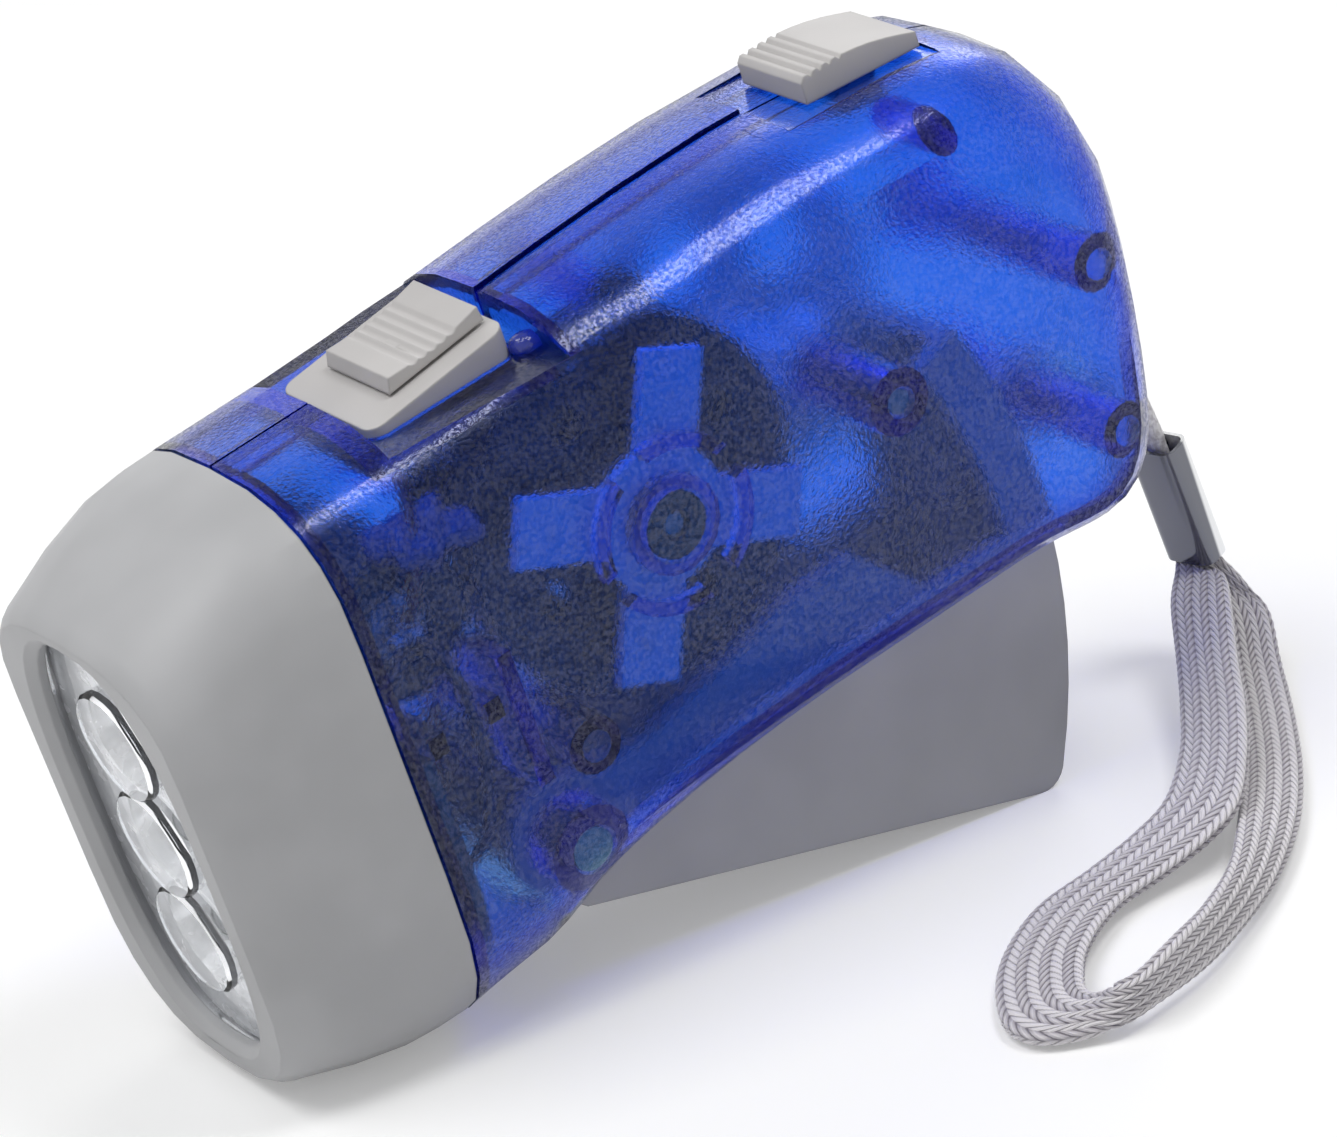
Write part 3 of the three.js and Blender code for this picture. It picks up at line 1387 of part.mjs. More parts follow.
// Lock slider over the tail
function makeLock() {
  const end = lockStart + lockLength;
  const low = (x) => ramp(x) + seatGap;
  const crest = (x) => {
    const share = (x - lockStart) / lockLength;
    return low(x) + lockHeight * (1 - 0.42 * share ** 2) + 0.2 * lockHeight * Math.sin(share * 180 * degrees);
  };
  const profile = new THREE.Shape();
  const count = 8;
  profile.moveTo(lockStart, low(lockStart));
  profile.lineTo(end, low(end));
  for (let step = count; step >= 3; step -= 1) {
    const x = lockStart + lockLength * step / count;
    profile.lineTo(x, crest(x));
  }
  const pitch = lockLength * 0.085;
  for (let rib = lockRibs - 1; rib >= 0; rib -= 1) {
    const x = lockStart + pitch * (rib + 0.35);
    profile.lineTo(x + pitch * 0.75, crest(x) - lockHeight * 0.14);
    profile.lineTo(x + pitch * 0.45, crest(x));
    profile.lineTo(x + pitch * 0.05, crest(x));
  }
  profile.lineTo(lockStart, crest(lockStart) - lockHeight * 0.2);
  const footFront = lockStart + lockLength / 2;
  const footHalf = lockSlotHalfWidth - runningGap;
  const footLow = ramp(footFront) - lockFloor;
  const foot = join(
    solid(box(footFront, footFront + lockFootLength, -footHalf, footHalf, footLow - 2 * lockFloor,
      low(footFront) + lockHeight / 2)),
    solid(box(footFront - lockFloor, footFront + lockFootLength, -footHalf, footHalf,
      footLow - 2 * lockFloor, footLow - runningGap * 2)));
  const slider = solid(sideSolid(profile, -lockHalfWidth, lockHalfWidth)).add(foot);
  place('lock_slider', toGeometry(slider), buttonGrey);
}

// Cells in their sleeve, and the board that rectifies and feeds the lamps
function makeCells() {
  const pitch = cellThickness + seatGap;
  const start = -(cellCount * pitch - seatGap) / 2;
  for (let i = 0; i < cellCount; i += 1) {
    const low = start + i * pitch;
    const can = solid(rod(cellRadius, low, low + cellThickness * 0.86, cell.x, cell.y, 24));
    const cap = solid(rod(cellRadius * 0.8, low, low + cellThickness, cell.x, cell.y, 20));
    place(`cell_${i + 1}`, toGeometry(can.add(cap)), steel);
  }
  const half = seatGap - start;
  const outer = cellRadius + seatGap + sleeveWall;
  const sleeve = cut(
    solid(rod(outer, -half - sleeveWall, half + sleeveWall, cell.x, cell.y, 24)),
    solid(rod(cellRadius + seatGap, -half, half, cell.x, cell.y, 24)),
    solid(rod(cellRadius / 2, -half - overrun, half + overrun, cell.x, cell.y, 16)));
  place('cell_sleeve', toGeometry(sleeve), blackPlastic);
}

const boardX = headLength + shellWall + seatGap;
const boardInset = 2.6;
const boardTop = 1;
const partsHalfWidth = 9;

function makeBoard() {
  const section = (x) => headRow(x / headLength, 1, 1, boardInset);
  const board = solid(loft([section(boardX), section(boardX + boardThickness)]))
    .intersect(solid(box(boardX - overrun, boardX + 2 * overrun, -bodyHalfWidth, bodyHalfWidth,
      -bodyRise, boardTop)));
  place('circuit_board', toGeometry(board), greenBoard);
  const rear = boardX + boardThickness + seatGap;
  const can = new THREE.CylinderGeometry(capacitorRadius, capacitorRadius, capacitorLength, 20);
  can.rotateX(90 * degrees);
  can.translate(rear + capacitorRadius, -partsHalfWidth / 2, -boardTop - capacitorLength / 2);
  place('capacitor', can, blackPlastic);
  for (let diode = 0; diode < 4; diode += 1) {
    const z = -boardTop - diodePitch * (diode + 0.5);
    const body = rod(diodeRadius, 0, diodeLength, rear + diodeRadius, z, 12);
    place(`diode_${diode + 1}`, body.translate(0, partsHalfWidth / 4, 0), blackPlastic);
  }
}
const capacitorRadius = 2;
const capacitorLength = 6;
const diodePitch = 2.6;
const diodeRadius = 0.8;
const diodeLength = 3.6;

// Wrist strap: a braided neck round the strap post, a folded steel ferrule, and a flat braid laid on the floor.
// Standing frame. Shares of the strap's reach: outer edge x y z, inner edge x y z, thickness.
const ferruleTopShare = [0.613, 0, 0.239];
const ferruleMouthShare = [0.653, 0, 0.114];
const ferruleAcrossShare = [0.2, -0.98, 0];
const webbingShares = [
  [0.634, 0.02, 0.141, 0.642, -0.022, 0.141, 0],
  [0.643, 0.02, 0.112, 0.651, -0.022, 0.112, 0],
  [0.632, 0.008, 0.1, 0.652, -0.042, 0.1, 0.6],
  [0.596, -0.024, 0.086, 0.634, -0.074, 0.088, 1],
  [0.566, -0.069, 0.056, 0.598, -0.131, 0.064, 1],
  [0.535, -0.108, 0.032, 0.56, -0.179, 0.046, 1],
  [0.492, -0.151, 0.016, 0.514, -0.228, 0.032, 1],
  [0.426, -0.209, 0.011, 0.455, -0.276, 0.022, 1],
  [0.361, -0.244, 0.011, 0.395, -0.306, 0.018, 1],
  [0.288, -0.268, 0.011, 0.33, -0.326, 0.017, 1],
  [0.221, -0.286, 0.011, 0.27, -0.342, 0.018, 1],
  [0.171, -0.312, 0.011, 0.226, -0.364, 0.02, 1],
  [0.123, -0.348, 0.011, 0.186, -0.392, 0.02, 1],
  [0.085, -0.391, 0.011, 0.159, -0.42, 0.02, 1],
  [0.062, -0.432, 0.011, 0.143, -0.442, 0.02, 1],
  [0.065, -0.466, 0.011, 0.142, -0.455, 0.02, 1],
  [0.092, -0.487, 0.011, 0.151, -0.462, 0.022, 1],
  [0.13, -0.494, 0.011, 0.162, -0.464, 0.026, 1],
  [0.18, -0.489, 0.011, 0.196, -0.469, 0.036, 1],
  [0.25, -0.464, 0.011, 0.252, -0.475, 0.05, 1],
  [0.339, -0.421, 0.011, 0.341, -0.43, 0.062, 1],
  [0.424, -0.368, 0.011, 0.416, -0.38, 0.07, 1],
  [0.513, -0.294, 0.011, 0.5, -0.292, 0.073, 1],
  [0.585, -0.214, 0.013, 0.573, -0.204, 0.078, 1],
  [0.632, -0.149, 0.024, 0.61, -0.128, 0.088, 1],
  [0.665, -0.089, 0.053, 0.639, -0.064, 0.102, 1],
  [0.674, -0.066, 0.072, 0.649, -0.03, 0.102, 0.8],
  [0.676, -0.042, 0.09, 0.656, 0.002, 0.096, 0.6],
  [0.663, -0.02, 0.114, 0.655, 0.021, 0.115, 0],
  [0.654, -0.02, 0.143, 0.646, 0.021, 0.144, 0],
];
const webbingStep = 1;
const webbingSides = 10;

function strapPoint(share) {
  return new THREE.Vector3(...share).multiplyScalar(strapReach);
}

function makeWebbing() {
  const outer = new THREE.CatmullRomCurve3(webbingShares.map((row) => strapPoint(row.slice(0, 3))));
  const inner = new THREE.CatmullRomCurve3(webbingShares.map((row) => strapPoint(row.slice(3, 6))));
  const count = (webbingShares.length - 1) * webbingStep;
  const stations = [];
  for (let step = 0; step <= count; step += 1) {
    const row = Math.min(Math.floor(step / webbingStep), webbingShares.length - 2);
    const part = step / webbingStep - row;
    const full = webbingShares[row][6] + (webbingShares[row + 1][6] - webbingShares[row][6]) * part;
    stations.push({
      edge: outer.getPoint(step / count),
      far: inner.getPoint(step / count),
      thickness: webbingPinched + (webbingThickness - webbingPinched) * full,
    });
  }
  const middles = stations.map(({ edge, far }) => edge.clone().add(far).multiplyScalar(0.5));
  const rings = stations.map(({ edge, far, thickness }, i) => {
    const ahead = middles[Math.min(i + 1, count)].clone().sub(middles[Math.max(i - 1, 0)]);
    const across = far.clone().sub(edge).multiplyScalar(0.5);
    const up = ahead.cross(across).normalize();
    return Array.from({ length: webbingSides }, (unused, k) => {
      const angle = (k + 0.5) / webbingSides * 360 * degrees;
      const flat = Math.sign(Math.sin(angle)) * Math.abs(Math.sin(angle)) ** 0.6;
      return middles[i].clone()
        .addScaledVector(across, Math.cos(angle))
        .addScaledVector(up, flat * thickness / 2);
    });
  });
  place('strap_webbing', tubeFromRings(rings), webbing, strap);
}

function ferruleFrame() {
  const top = strapPoint(ferruleTopShare);
  const mouth = strapPoint(ferruleMouthShare);
  const along = mouth.clone().sub(top).normalize();
  const across = new THREE.Vector3(...ferruleAcrossShare);
  across.addScaledVector(along, -across.dot(along)).normalize();
  const frame = new THREE.Matrix4().makeBasis(across, along.clone().cross(across), along);
  return { frame: frame.setPosition(top), top, along, length: mouth.distanceTo(top) };
}

function makeFerrule() {
  const { frame, length } = ferruleFrame();
  const shape = roundedPlate(-ferruleWidth / 2, ferruleWidth / 2, ferruleDepth / 2, ferruleCorner);
  const hole = roundedPlate(ferruleWall - ferruleWidth / 2, ferruleWidth / 2 - ferruleWall,
    ferruleDepth / 2 - ferruleWall, ferruleCorner - ferruleWall);
  const sleeve = cut(solid(topSolid(shape, 0, length, 6)), solid(topSolid(hole, -overrun, length + overrun, 6)));
  place('strap_ferrule', toGeometry(sleeve).applyMatrix4(frame), steel, strap);
}

// Neck cord from the ferrule through the tail and once round the strap post
function makeNeck() {
  const { top, along } = ferruleFrame();
  const post = screwPosts[1];
  const radius = postRadius + seatGap + neckDiameter / 2;
  const inTorch = (x, z) => new THREE.Vector3(x, 0, z).applyMatrix4(torch.matrixWorld);
  const slope = strapHoleSlope * degrees;
  const holeAt = (reach) => inTorch(
    bodyLength - overrun + reach * Math.cos(slope), -strapHoleDrop - reach * Math.sin(slope));
  const points = [
    top.clone().addScaledVector(along, neckInsert),
    top.clone(),
    top.clone().addScaledVector(along, -neckInsert * 0.6),
    holeAt(2 * overrun),
    holeAt(overrun / 2),
    holeAt(-overrun / 2),
  ];
  for (let angle = -40; angle >= -310; angle -= 30) {
    const point = polar(post, radius, angle);
    points.push(inTorch(point.x, point.y));
  }
  const curve = new THREE.CatmullRomCurve3(points, false, 'centripetal');
  const path = curve.getPoints(34);
  place('strap_neck', sweep(path, roundSection(neckDiameter / 2, 8), new THREE.Vector3(0, 1, 0)), webbing, strap);
}

makeBezel();
makeLens();
makeReflector();
makeLeds();
makeLedBoard();
makeShell(-1, 'left_shell');
makeShell(1, 'right_shell');
makeScrews();
makeLever();
makePivotPin();
makeSpring();
makeDriveGear();
makeAxle();
makeFlywheel();
makeBushes();
makeDynamo();
makeSwitch();
makeLock();
makeCells();
makeBoard();

// Pitch at which the head's rim and the lever's heel both meet the floor
function lowest(mesh, pitch) {
  const turn = new THREE.Matrix4().makeRotationY(-pitch);
  const position = mesh.geometry.attributes.position;
  let low = Infinity;
  for (let i = 0; i < position.count; i += 1) {
    const point = new THREE.Vector3().fromBufferAttribute(position, i).applyMatrix4(turn);
    low = Math.min(low, point.z);
  }
  return low;
}

function standPitch() {
  const head = torch.getObjectByName('head_bezel');
  const lever = torch.getObjectByName('lever');
  let [low, high] = [0, 30 * degrees];
  for (let pass = 0; pass < 40; pass += 1) {
    const pitch = (low + high) / 2;
    if (lowest(lever, pitch) < lowest(head, pitch)) low = pitch;
    else high = pitch;
  }
  return (low + high) / 2;
}

const stand = new THREE.Group();
torch.rotation.y = -standPitch();
stand.add(torch);
stand.updateMatrixWorld(true);
const bounds = new THREE.Box3().setFromObject(torch, true);
torch.position.set(-(bounds.min.x + bounds.max.x) / 2, -(bounds.min.y + bounds.max.y) / 2, -bounds.min.z);

torch.updateMatrixWorld(true);
makeFerrule();
makeNeck();
makeWebbing();
stand.add(strap);

export default stand;
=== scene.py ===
from math import cos, pi, radians, sin

import bpy
import numpy as np
from mathutils import Matrix, Vector


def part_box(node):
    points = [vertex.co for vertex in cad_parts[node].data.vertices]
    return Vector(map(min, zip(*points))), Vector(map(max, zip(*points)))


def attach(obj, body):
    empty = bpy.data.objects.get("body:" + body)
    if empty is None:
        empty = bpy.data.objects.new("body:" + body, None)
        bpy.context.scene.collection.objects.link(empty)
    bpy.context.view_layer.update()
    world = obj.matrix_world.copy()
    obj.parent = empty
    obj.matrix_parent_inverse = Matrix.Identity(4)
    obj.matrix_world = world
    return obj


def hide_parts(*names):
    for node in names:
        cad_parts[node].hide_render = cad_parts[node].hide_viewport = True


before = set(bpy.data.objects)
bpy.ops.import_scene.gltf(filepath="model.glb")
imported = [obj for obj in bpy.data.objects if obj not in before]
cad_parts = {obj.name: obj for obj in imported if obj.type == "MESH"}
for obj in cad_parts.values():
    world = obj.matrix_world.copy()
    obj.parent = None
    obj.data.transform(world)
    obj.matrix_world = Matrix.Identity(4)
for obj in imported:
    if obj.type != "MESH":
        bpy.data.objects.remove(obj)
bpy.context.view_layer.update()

MM = 0.001

# Camera
# A long lens a little above the torch, looking back along its left side past the head.
# Its place is in metres, and like its axes it is given in the frame that the torch stands in.
PICTURE_WIDTH = 1337
FOCAL_PIXELS = 5199.3
SENSOR_WIDTH = 36
NEAREST_SEEN = 0.01
CAMERA_PLACE = Vector((-0.217743, -0.34705, 0.210043))
CAMERA_RIGHT = Vector((0.809485, -0.577648, -0.105154))
CAMERA_UP = Vector((0.311841, 0.271234, 0.910597))


def make_camera():
    lens = bpy.data.cameras.new("camera")
    lens.sensor_width = SENSOR_WIDTH
    lens.lens = FOCAL_PIXELS * SENSOR_WIDTH / PICTURE_WIDTH
    lens.clip_start = NEAREST_SEEN
    camera = bpy.data.objects.new("camera", lens)
    back = CAMERA_RIGHT.cross(CAMERA_UP)
    turn = Matrix((CAMERA_RIGHT, CAMERA_UP, back)).transposed()
    camera.matrix_world = Matrix.Translation(CAMERA_PLACE) @ turn.to_4x4()
    bpy.context.scene.collection.objects.link(camera)
    bpy.context.scene.camera = camera


make_camera()
bpy.context.scene.view_settings.view_transform = "Standard"

# Wrist strap
# A flat polyester braid of eight columns to a face, laid in one loop with both ends pinched in a
# steel ferrule, and a round cord from there into the tail. A row of the braid's table gives its
# outer edge and inner edge in mm, and its fullness from pinched to free.
WEBBING_EDGES = [
    (63.4, 2.0, 14.1, 64.2, -2.2, 14.1, 0),
    (64.3, 2.0, 11.2, 65.1, -2.2, 11.2, 0),
    (63.2, 0.8, 10.0, 65.2, -4.2, 10.0, 0.6),
    (59.1, -3.2, 9.0, 62.1, -8.6, 9.6, 1),
    (55.0, -8.6, 6.6, 56.8, -15.4, 8.2, 1),
    (51.0, -13.7, 4.9, 51.7, -22.2, 7.4, 1),
    (46.5, -18.8, 3.7, 46.9, -27.7, 6.3, 1),
    (40.3, -23.9, 2.8, 41.9, -32.2, 5.0, 1),
    (35.2, -25.6, 1.9, 37.5, -33.3, 3.5, 1),
    (28.6, -27.1, 1.3, 32.2, -33.5, 2.2, 1),
    (22.1, -28.6, 1.1, 27.0, -34.2, 1.8, 1),
    (17.1, -31.2, 1.1, 22.6, -36.4, 2.0, 1),
    (12.3, -34.8, 1.1, 18.6, -39.2, 2.0, 1),
    (8.5, -39.1, 1.1, 15.9, -42.0, 2.0, 1),
    (6.2, -43.2, 1.1, 14.3, -44.2, 2.0, 1),
    (6.5, -46.6, 1.1, 13.9, -45.8, 2.2, 1),
    (9.2, -48.7, 1.1, 14.2, -47.3, 3.0, 1),
    (12.9, -49.7, 1.1, 13.6, -49.0, 4.6, 1),
    (17.6, -48.7, 1.1, 15.5, -50.0, 5.3, 1),
    (24.5, -47.0, 1.1, 20.9, -48.3, 6.0, 1),
    (31.6, -44.0, 1.1, 27.0, -44.9, 5.4, 1),
    (39.2, -39.9, 1.1, 34.5, -39.2, 4.4, 1),
    (47.0, -33.9, 1.1, 42.4, -31.2, 3.3, 1),
    (54.2, -26.4, 1.1, 49.3, -23.7, 2.7, 1),
    (61.0, -17.8, 1.3, 55.7, -15.9, 2.4, 1),
    (66.5, -9.8, 2.6, 62.2, -7.3, 3.2, 1),
    (69.3, -5.1, 5.4, 64.8, -3.2, 6.6, 0.8),
    (67.9, -3.5, 8.6, 65.7, 0.5, 9.4, 0.6),
    (66.3, -2.0, 11.4, 65.5, 2.1, 11.5, 0),
    (65.4, -2.0, 14.3, 64.6, 2.1, 14.4, 0),
]
WEBBING_THICK = 1.8
WEBBING_PINCHED = 0.8
WEBBING_STEPS = 38
WEBBING_AROUND = 80
BRAID_COLUMNS = 16
BRAID_STITCH = 1.05
BRAID_RELIEF = 0.2
BRAID_LEAN = 1.4
# BRAID_DARK is the painted shade in the braid's gaps and grooves, and BRAID_SILVER its painted sheen and
# highlight.
BRAID_DARK = (0.25, 0.225, 0.27)
BRAID_SILVER = (0.85, 0.82, 0.845)
WEBBING_WIDE = 8.0
NECK_ROUTE = [
    (62.3, 0, 20.7), (61.4, 0, 23.6), (60.9, 0, 25.3), (58.7, 0, 30.3), (55.7, 0, 32.8),
    (53.6, 0, 33.3), (51.6, 0, 33.3), (49.3, 0, 32.0), (48.2, 0, 30.7), (46.5, 0, 30.2),
    (44.7, 0, 30.4), (43.2, 0, 31.5), (42.4, 0, 33.0), (42.3, 0, 34.8), (43.1, 0, 36.4),
    (44.5, 0, 37.6), (46.2, 0, 37.9), (48.0, 0, 37.5),
]
NECK_THICK = 2.0
NECK_STEPS = 12
NECK_AROUND = 24
NECK_TWIST = 3.2
NECK_DARK = (0.52, 0.5, 0.53)
NECK_LIGHT = (0.85, 0.84, 0.85)


class Flow:
    """A socket among a finish's nodes. Sums on it add Math nodes, and node() adds any other kind."""

    def __init__(self, tree, socket=None):
        self.tree = tree
        self.socket = socket

    def node(self, kind, settings=None, inputs=None, output=0):
        made = self.tree.nodes.new(kind)
        for name, value in (settings or {}).items():
            setattr(made, name, value)
        for name, value in (inputs or {}).items():
            if isinstance(value, Flow):
                self.tree.links.new(value.socket, made.inputs[name])
            else:
                made.inputs[name].default_value = value
        return Flow(self.tree, made.outputs[output])

    def maths(self, operation, *values):
        return self.node("ShaderNodeMath", {"operation": operation}, dict(enumerate(values)))

    def __add__(self, other):
        return self.maths("ADD", self, other)

    __radd__ = __add__

    def __sub__(self, other):
        return self.maths("SUBTRACT", self, other)

    def __rsub__(self, other):
        return self.maths("SUBTRACT", other, self)

    def __mul__(self, other):
        return self.maths("MULTIPLY", self, other)

    __rmul__ = __mul__

    def __truediv__(self, other):
        return self.maths("DIVIDE", self, other)

    def __pow__(self, other):
        return self.maths("POWER", self, other)

    def __abs__(self):
        return self.maths("ABSOLUTE", self)

    def wave(self):
        return self.maths("SINE", self)

    def whole(self):
        return self.maths("FLOOR", self)

    def above(self, limit):
        return self.maths("GREATER_THAN", self, limit)

    def between(self, low, high):
        return self.node("ShaderNodeMapRange", {"interpolation_type": "SMOOTHSTEP"},
                         {"Value": self, "From Min": low, "From Max": high})

    def colours(self, low, high):
        """The colour low where this is 0 and high where it is 1."""
        return self.node("ShaderNodeMix", {"data_type": "RGBA"}, {0: self, 6: (*low, 1), 7: (*high, 1)}, 2)

    def part(self, axis):
        """One axis of a vector, X, Y or Z."""
        return self.node("ShaderNodeSeparateXYZ", None, {0: self}, "XYZ".index(axis))

    def stretched(self, *scale):
        return self.node("ShaderNodeVectorMath", {"operation": "MULTIPLY"}, {0: self, 1: scale})

    def noise(self, size, detail=2, rough=0.5):
        """Even noise with features of about size metres."""
        return self.node("ShaderNodeTexNoise", None, {
            "Vector": self, "Scale": 1 / size, "Detail": detail, "Roughness": rough})

    def bump(self, height, strength=1, normal=None):
        inputs = {"Height": self, "Distance": height, "Strength": strength}
        if normal is not None:
            inputs["Normal"] = normal
        return self.node("ShaderNodeBump", None, inputs)


def finish(name, **constants):
    """A material with one Principled shader: its Flow for more nodes, the shader's node and itself."""
    material = bpy.data.materials.new(name)
    material.use_nodes = True
    tree = material.node_tree
    shader = tree.nodes["Principled BSDF"]
    for key, value in constants.items():
        shader.inputs[key.replace("_", " ")].default_value = value
    return Flow(tree), shader, material


def feed(flow, shader, **links):
    for key, value in links.items():
        flow.tree.links.new(value.socket, shader.inputs[key.replace("_", " ")])


def places(flow):
    return flow.node("ShaderNodeTexCoord", output="Object")


def braid_finish():
    flow, shader, material = finish("braid", Roughness=0.55, Sheen_Weight=0.25)
    woven = flow.node("ShaderNodeUVMap", {"uv_map": "braid"})
    across, along = woven.part("X"), woven.part("Y")
    column = across.whole()
    lean = 1 - 2 * column.maths("MODULO", column, 2)
    strand = along / BRAID_STITCH + (across - column - 0.5) * lean * BRAID_LEAN
    bundle = abs((strand * pi).wave())
    thread = abs((strand * (3 * pi)).wave())
    wander = places(flow).noise(9 * MM, 3)
    valley = abs((across * pi).wave())
    # Colour mostly painted light: columns leaning one way get a painted sheen over the other way, each
    # stitch's crown and thread a painted highlight, and the gaps and the grooves between columns painted
    # shade; only wander is the yarn's own uneven tone.
    painted_sheen_and_tone = lean * 0.2 + bundle * 0.5 + valley * 0.3 + thread * 0.08 + wander * 0.2
    colour = painted_sheen_and_tone.between(0, 1.05).colours(BRAID_DARK, BRAID_SILVER)
    height = bundle ** 0.6 + thread * 0.25
    feed(flow, shader, Base_Color=colour, Normal=height.bump(0.16 * MM, 0.9))
    return material


def link(obj):
    bpy.context.scene.collection.objects.link(obj)
    return obj


def mesh_piece(name, points, faces, material, smooth=True):
    mesh = bpy.data.meshes.new(name)
    mesh.from_pydata([tuple(point) for point in points], [], [tuple(face) for face in faces])
    mesh.materials.append(material)
    for face in mesh.polygons:
        face.use_smooth = smooth
    mesh.update()
    return link(bpy.data.objects.new(name, mesh))


def curve_through(points, steps):
    """Points on a smooth curve through the given ones, so many steps from one to the next."""
    points = np.array(points, float)
    padded = np.vstack([2 * points[0] - points[1], points, 2 * points[-1] - points[-2]])
    part = np.linspace(0, 1, steps, endpoint=False)[:, None]
    pieces = []
    for a, b, c, d in zip(padded, padded[1:], padded[2:], padded[3:]):
        pieces.append(0.5 * (2 * b + (c - a) * part + (2 * a - 5 * b + 4 * c - d) * part ** 2
                             + (3 * b - a - 3 * c + d) * part ** 3))
    return np.vstack([*pieces, points[-1:]])


def units(vectors):
    return vectors / np.linalg.norm(vectors, axis=1, keepdims=True)


def flat_section(count):
    """Evenly spaced points round a flat strap's section: across from -1 to 1, up from -1 to 1."""
    angle = np.linspace(0, 2 * pi, 721)
    across = np.sign(np.cos(angle)) * np.abs(np.cos(angle)) ** 0.75
    up = np.sign(np.sin(angle)) * np.abs(np.sin(angle)) ** 0.6
    steps = np.hypot(np.diff(across) * WEBBING_WIDE / 2, np.diff(up) * WEBBING_THICK / 2)
    along = np.concatenate([[0], np.cumsum(steps)])
    at = np.linspace(0, along[-1], count, endpoint=False)
    return np.interp(at, along, across), np.interp(at, along, up)


def tube_faces(rings, around):
    """Quads of a tube with rings of so many points, numbered ring by ring, with its two end caps."""
    first = np.arange(rings - 1)[:, None] * around + np.arange(around)[None, :]
    turned = np.roll(first, -1, axis=1)
    quads = np.stack([first, turned, turned + around, first + around], axis=-1).reshape(-1, 4)
    caps = [list(range(around))[::-1], list(range((rings - 1) * around, rings * around))]
    return [*quads.tolist(), *caps]


def make_webbing():
    rows = curve_through(WEBBING_EDGES, WEBBING_STEPS)
    edge, far, full = rows[:, 0:3], rows[:, 3:6], np.clip(rows[:, 6], 0, 1)
    middle = (edge + far) / 2
    along = units(np.gradient(middle, axis=0))
    across = (far - edge) / 2
    up = units(np.cross(along, across))
    travelled = np.concatenate([[0], np.cumsum(np.linalg.norm(np.diff(middle, axis=0), axis=1))])
    side, rise = flat_section(WEBBING_AROUND)
    half = (WEBBING_PINCHED + (WEBBING_THICK - WEBBING_PINCHED) * full) / 2
    column = np.arange(WEBBING_AROUND) * BRAID_COLUMNS / WEBBING_AROUND
    lean = 1 - 2 * (np.floor(column) % 2)
    strand = travelled[:, None] / BRAID_STITCH + ((column % 1) - 0.5) * lean * BRAID_LEAN
    relief = np.abs(np.sin(pi * strand)) ** 0.6 * np.abs(np.sin(pi * column)) ** 0.5
    relief = BRAID_RELIEF * (relief - 1) * (0.4 + 0.6 * full[:, None])
    out = (side[:, None] * across[:, None, :] * 0.3 + rise[:, None] * up[:, None, :])
    out = out / np.linalg.norm(out, axis=2, keepdims=True)
    points = (middle[:, None, :] + side[:, None] * across[:, None, :]
              + rise[:, None] * half[:, None, None] * up[:, None, :] + out * relief[:, :, None])
    rings = len(rows)
    strap = mesh_piece("braided_strap", points.reshape(-1, 3) * MM,
                       tube_faces(rings, WEBBING_AROUND), braid_finish())
    woven = strap.data.uv_layers.new(name="braid")
    corner = np.zeros(len(strap.data.loops), int)
    strap.data.loops.foreach_get("vertex_index", corner)
    u = column[corner % WEBBING_AROUND]
    v = travelled[corner // WEBBING_AROUND]
    quads = 4 * (rings - 1) * WEBBING_AROUND
    seam = (np.arange(len(u)) < quads) & (u == 0) & (np.arange(len(u)) // 4 % WEBBING_AROUND
                                                     == WEBBING_AROUND - 1)
    u = np.where(seam, BRAID_COLUMNS, u)
    woven.data.foreach_set("uv", np.stack([u, v], axis=1).ravel())
    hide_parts("strap_webbing")
    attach(strap, "case")


def make_neck():
    line = curve_through(NECK_ROUTE, NECK_STEPS)
    along = units(np.gradient(line, axis=0))
    side = units(np.cross(along, np.array([[0, 1.0, 0]])))
    up = np.cross(side, along)
    travelled = np.concatenate([[0], np.cumsum(np.linalg.norm(np.diff(line, axis=0), axis=1))])
    turn = np.arange(NECK_AROUND) * 2 * pi / NECK_AROUND
    twist = travelled[:, None] * 2 * pi / NECK_TWIST
    relief = np.abs(np.sin(1.5 * turn + twist)) + np.abs(np.sin(1.5 * turn - twist))
    radius = NECK_THICK / 2 * (0.86 + 0.07 * relief)
    points = (line[:, None, :] + radius[:, :, None] * (
        np.cos(turn)[None, :, None] * side[:, None, :] + np.sin(turn)[None, :, None] * up[:, None, :]))
    flow, shader, material = finish("neck_cord", Roughness=0.6, Sheen_Weight=0.2)
    fibre = places(flow).stretched(1, 3, 1).noise(0.5 * MM, 3)
    feed(flow, shader, Base_Color=fibre.between(0.3, 0.7).colours(NECK_DARK, NECK_LIGHT),
         Normal=fibre.bump(0.1 * MM, 0.5))
    neck = mesh_piece("neck_cord", points.reshape(-1, 3) * MM, tube_faces(len(line), NECK_AROUND),
                      material)
    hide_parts("strap_neck")
    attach(neck, "case")


make_webbing()
make_neck()


# Floor and light
# A white table top in a pale room with a greyer ceiling: one soft lamp high in front of the lens, a
# softbox overhead and a weak lamp behind. What looks straight at the table or room finds it white.
FLOOR_SIZE = 3.0
FLOOR_WHITE = 0.8
FLOOR_LIFT = 0.25
ROOM_LIGHT = 0.43
CEILING_FROM = 0.3
CEILING_DARK = 0.5
LAMP_AIM = Vector((0, 0, 0.03))
LAMPS_OVER_TABLE = {
    "key_lamp": ((-0.42, 0.05, 0.85), 0.5, 4.0),
    "top_lamp": ((0.16, -0.2, 0.76), 0.25, 1.7),
    "rim_lamp": ((0.5, 0.5, 0.5), 0.4, 1.2),
}


def seen_directly(flow):
    """1 for rays that show the table or room itself, and 0 for those that only carry its light."""
    straight, mirrored, bent = (flow.node("ShaderNodeLightPath", output=f"Is {kind} Ray")
                                for kind in ("Camera", "Glossy", "Transmission"))
    return flow.maths("MAXIMUM", flow.maths("MAXIMUM", straight, mirrored), bent)


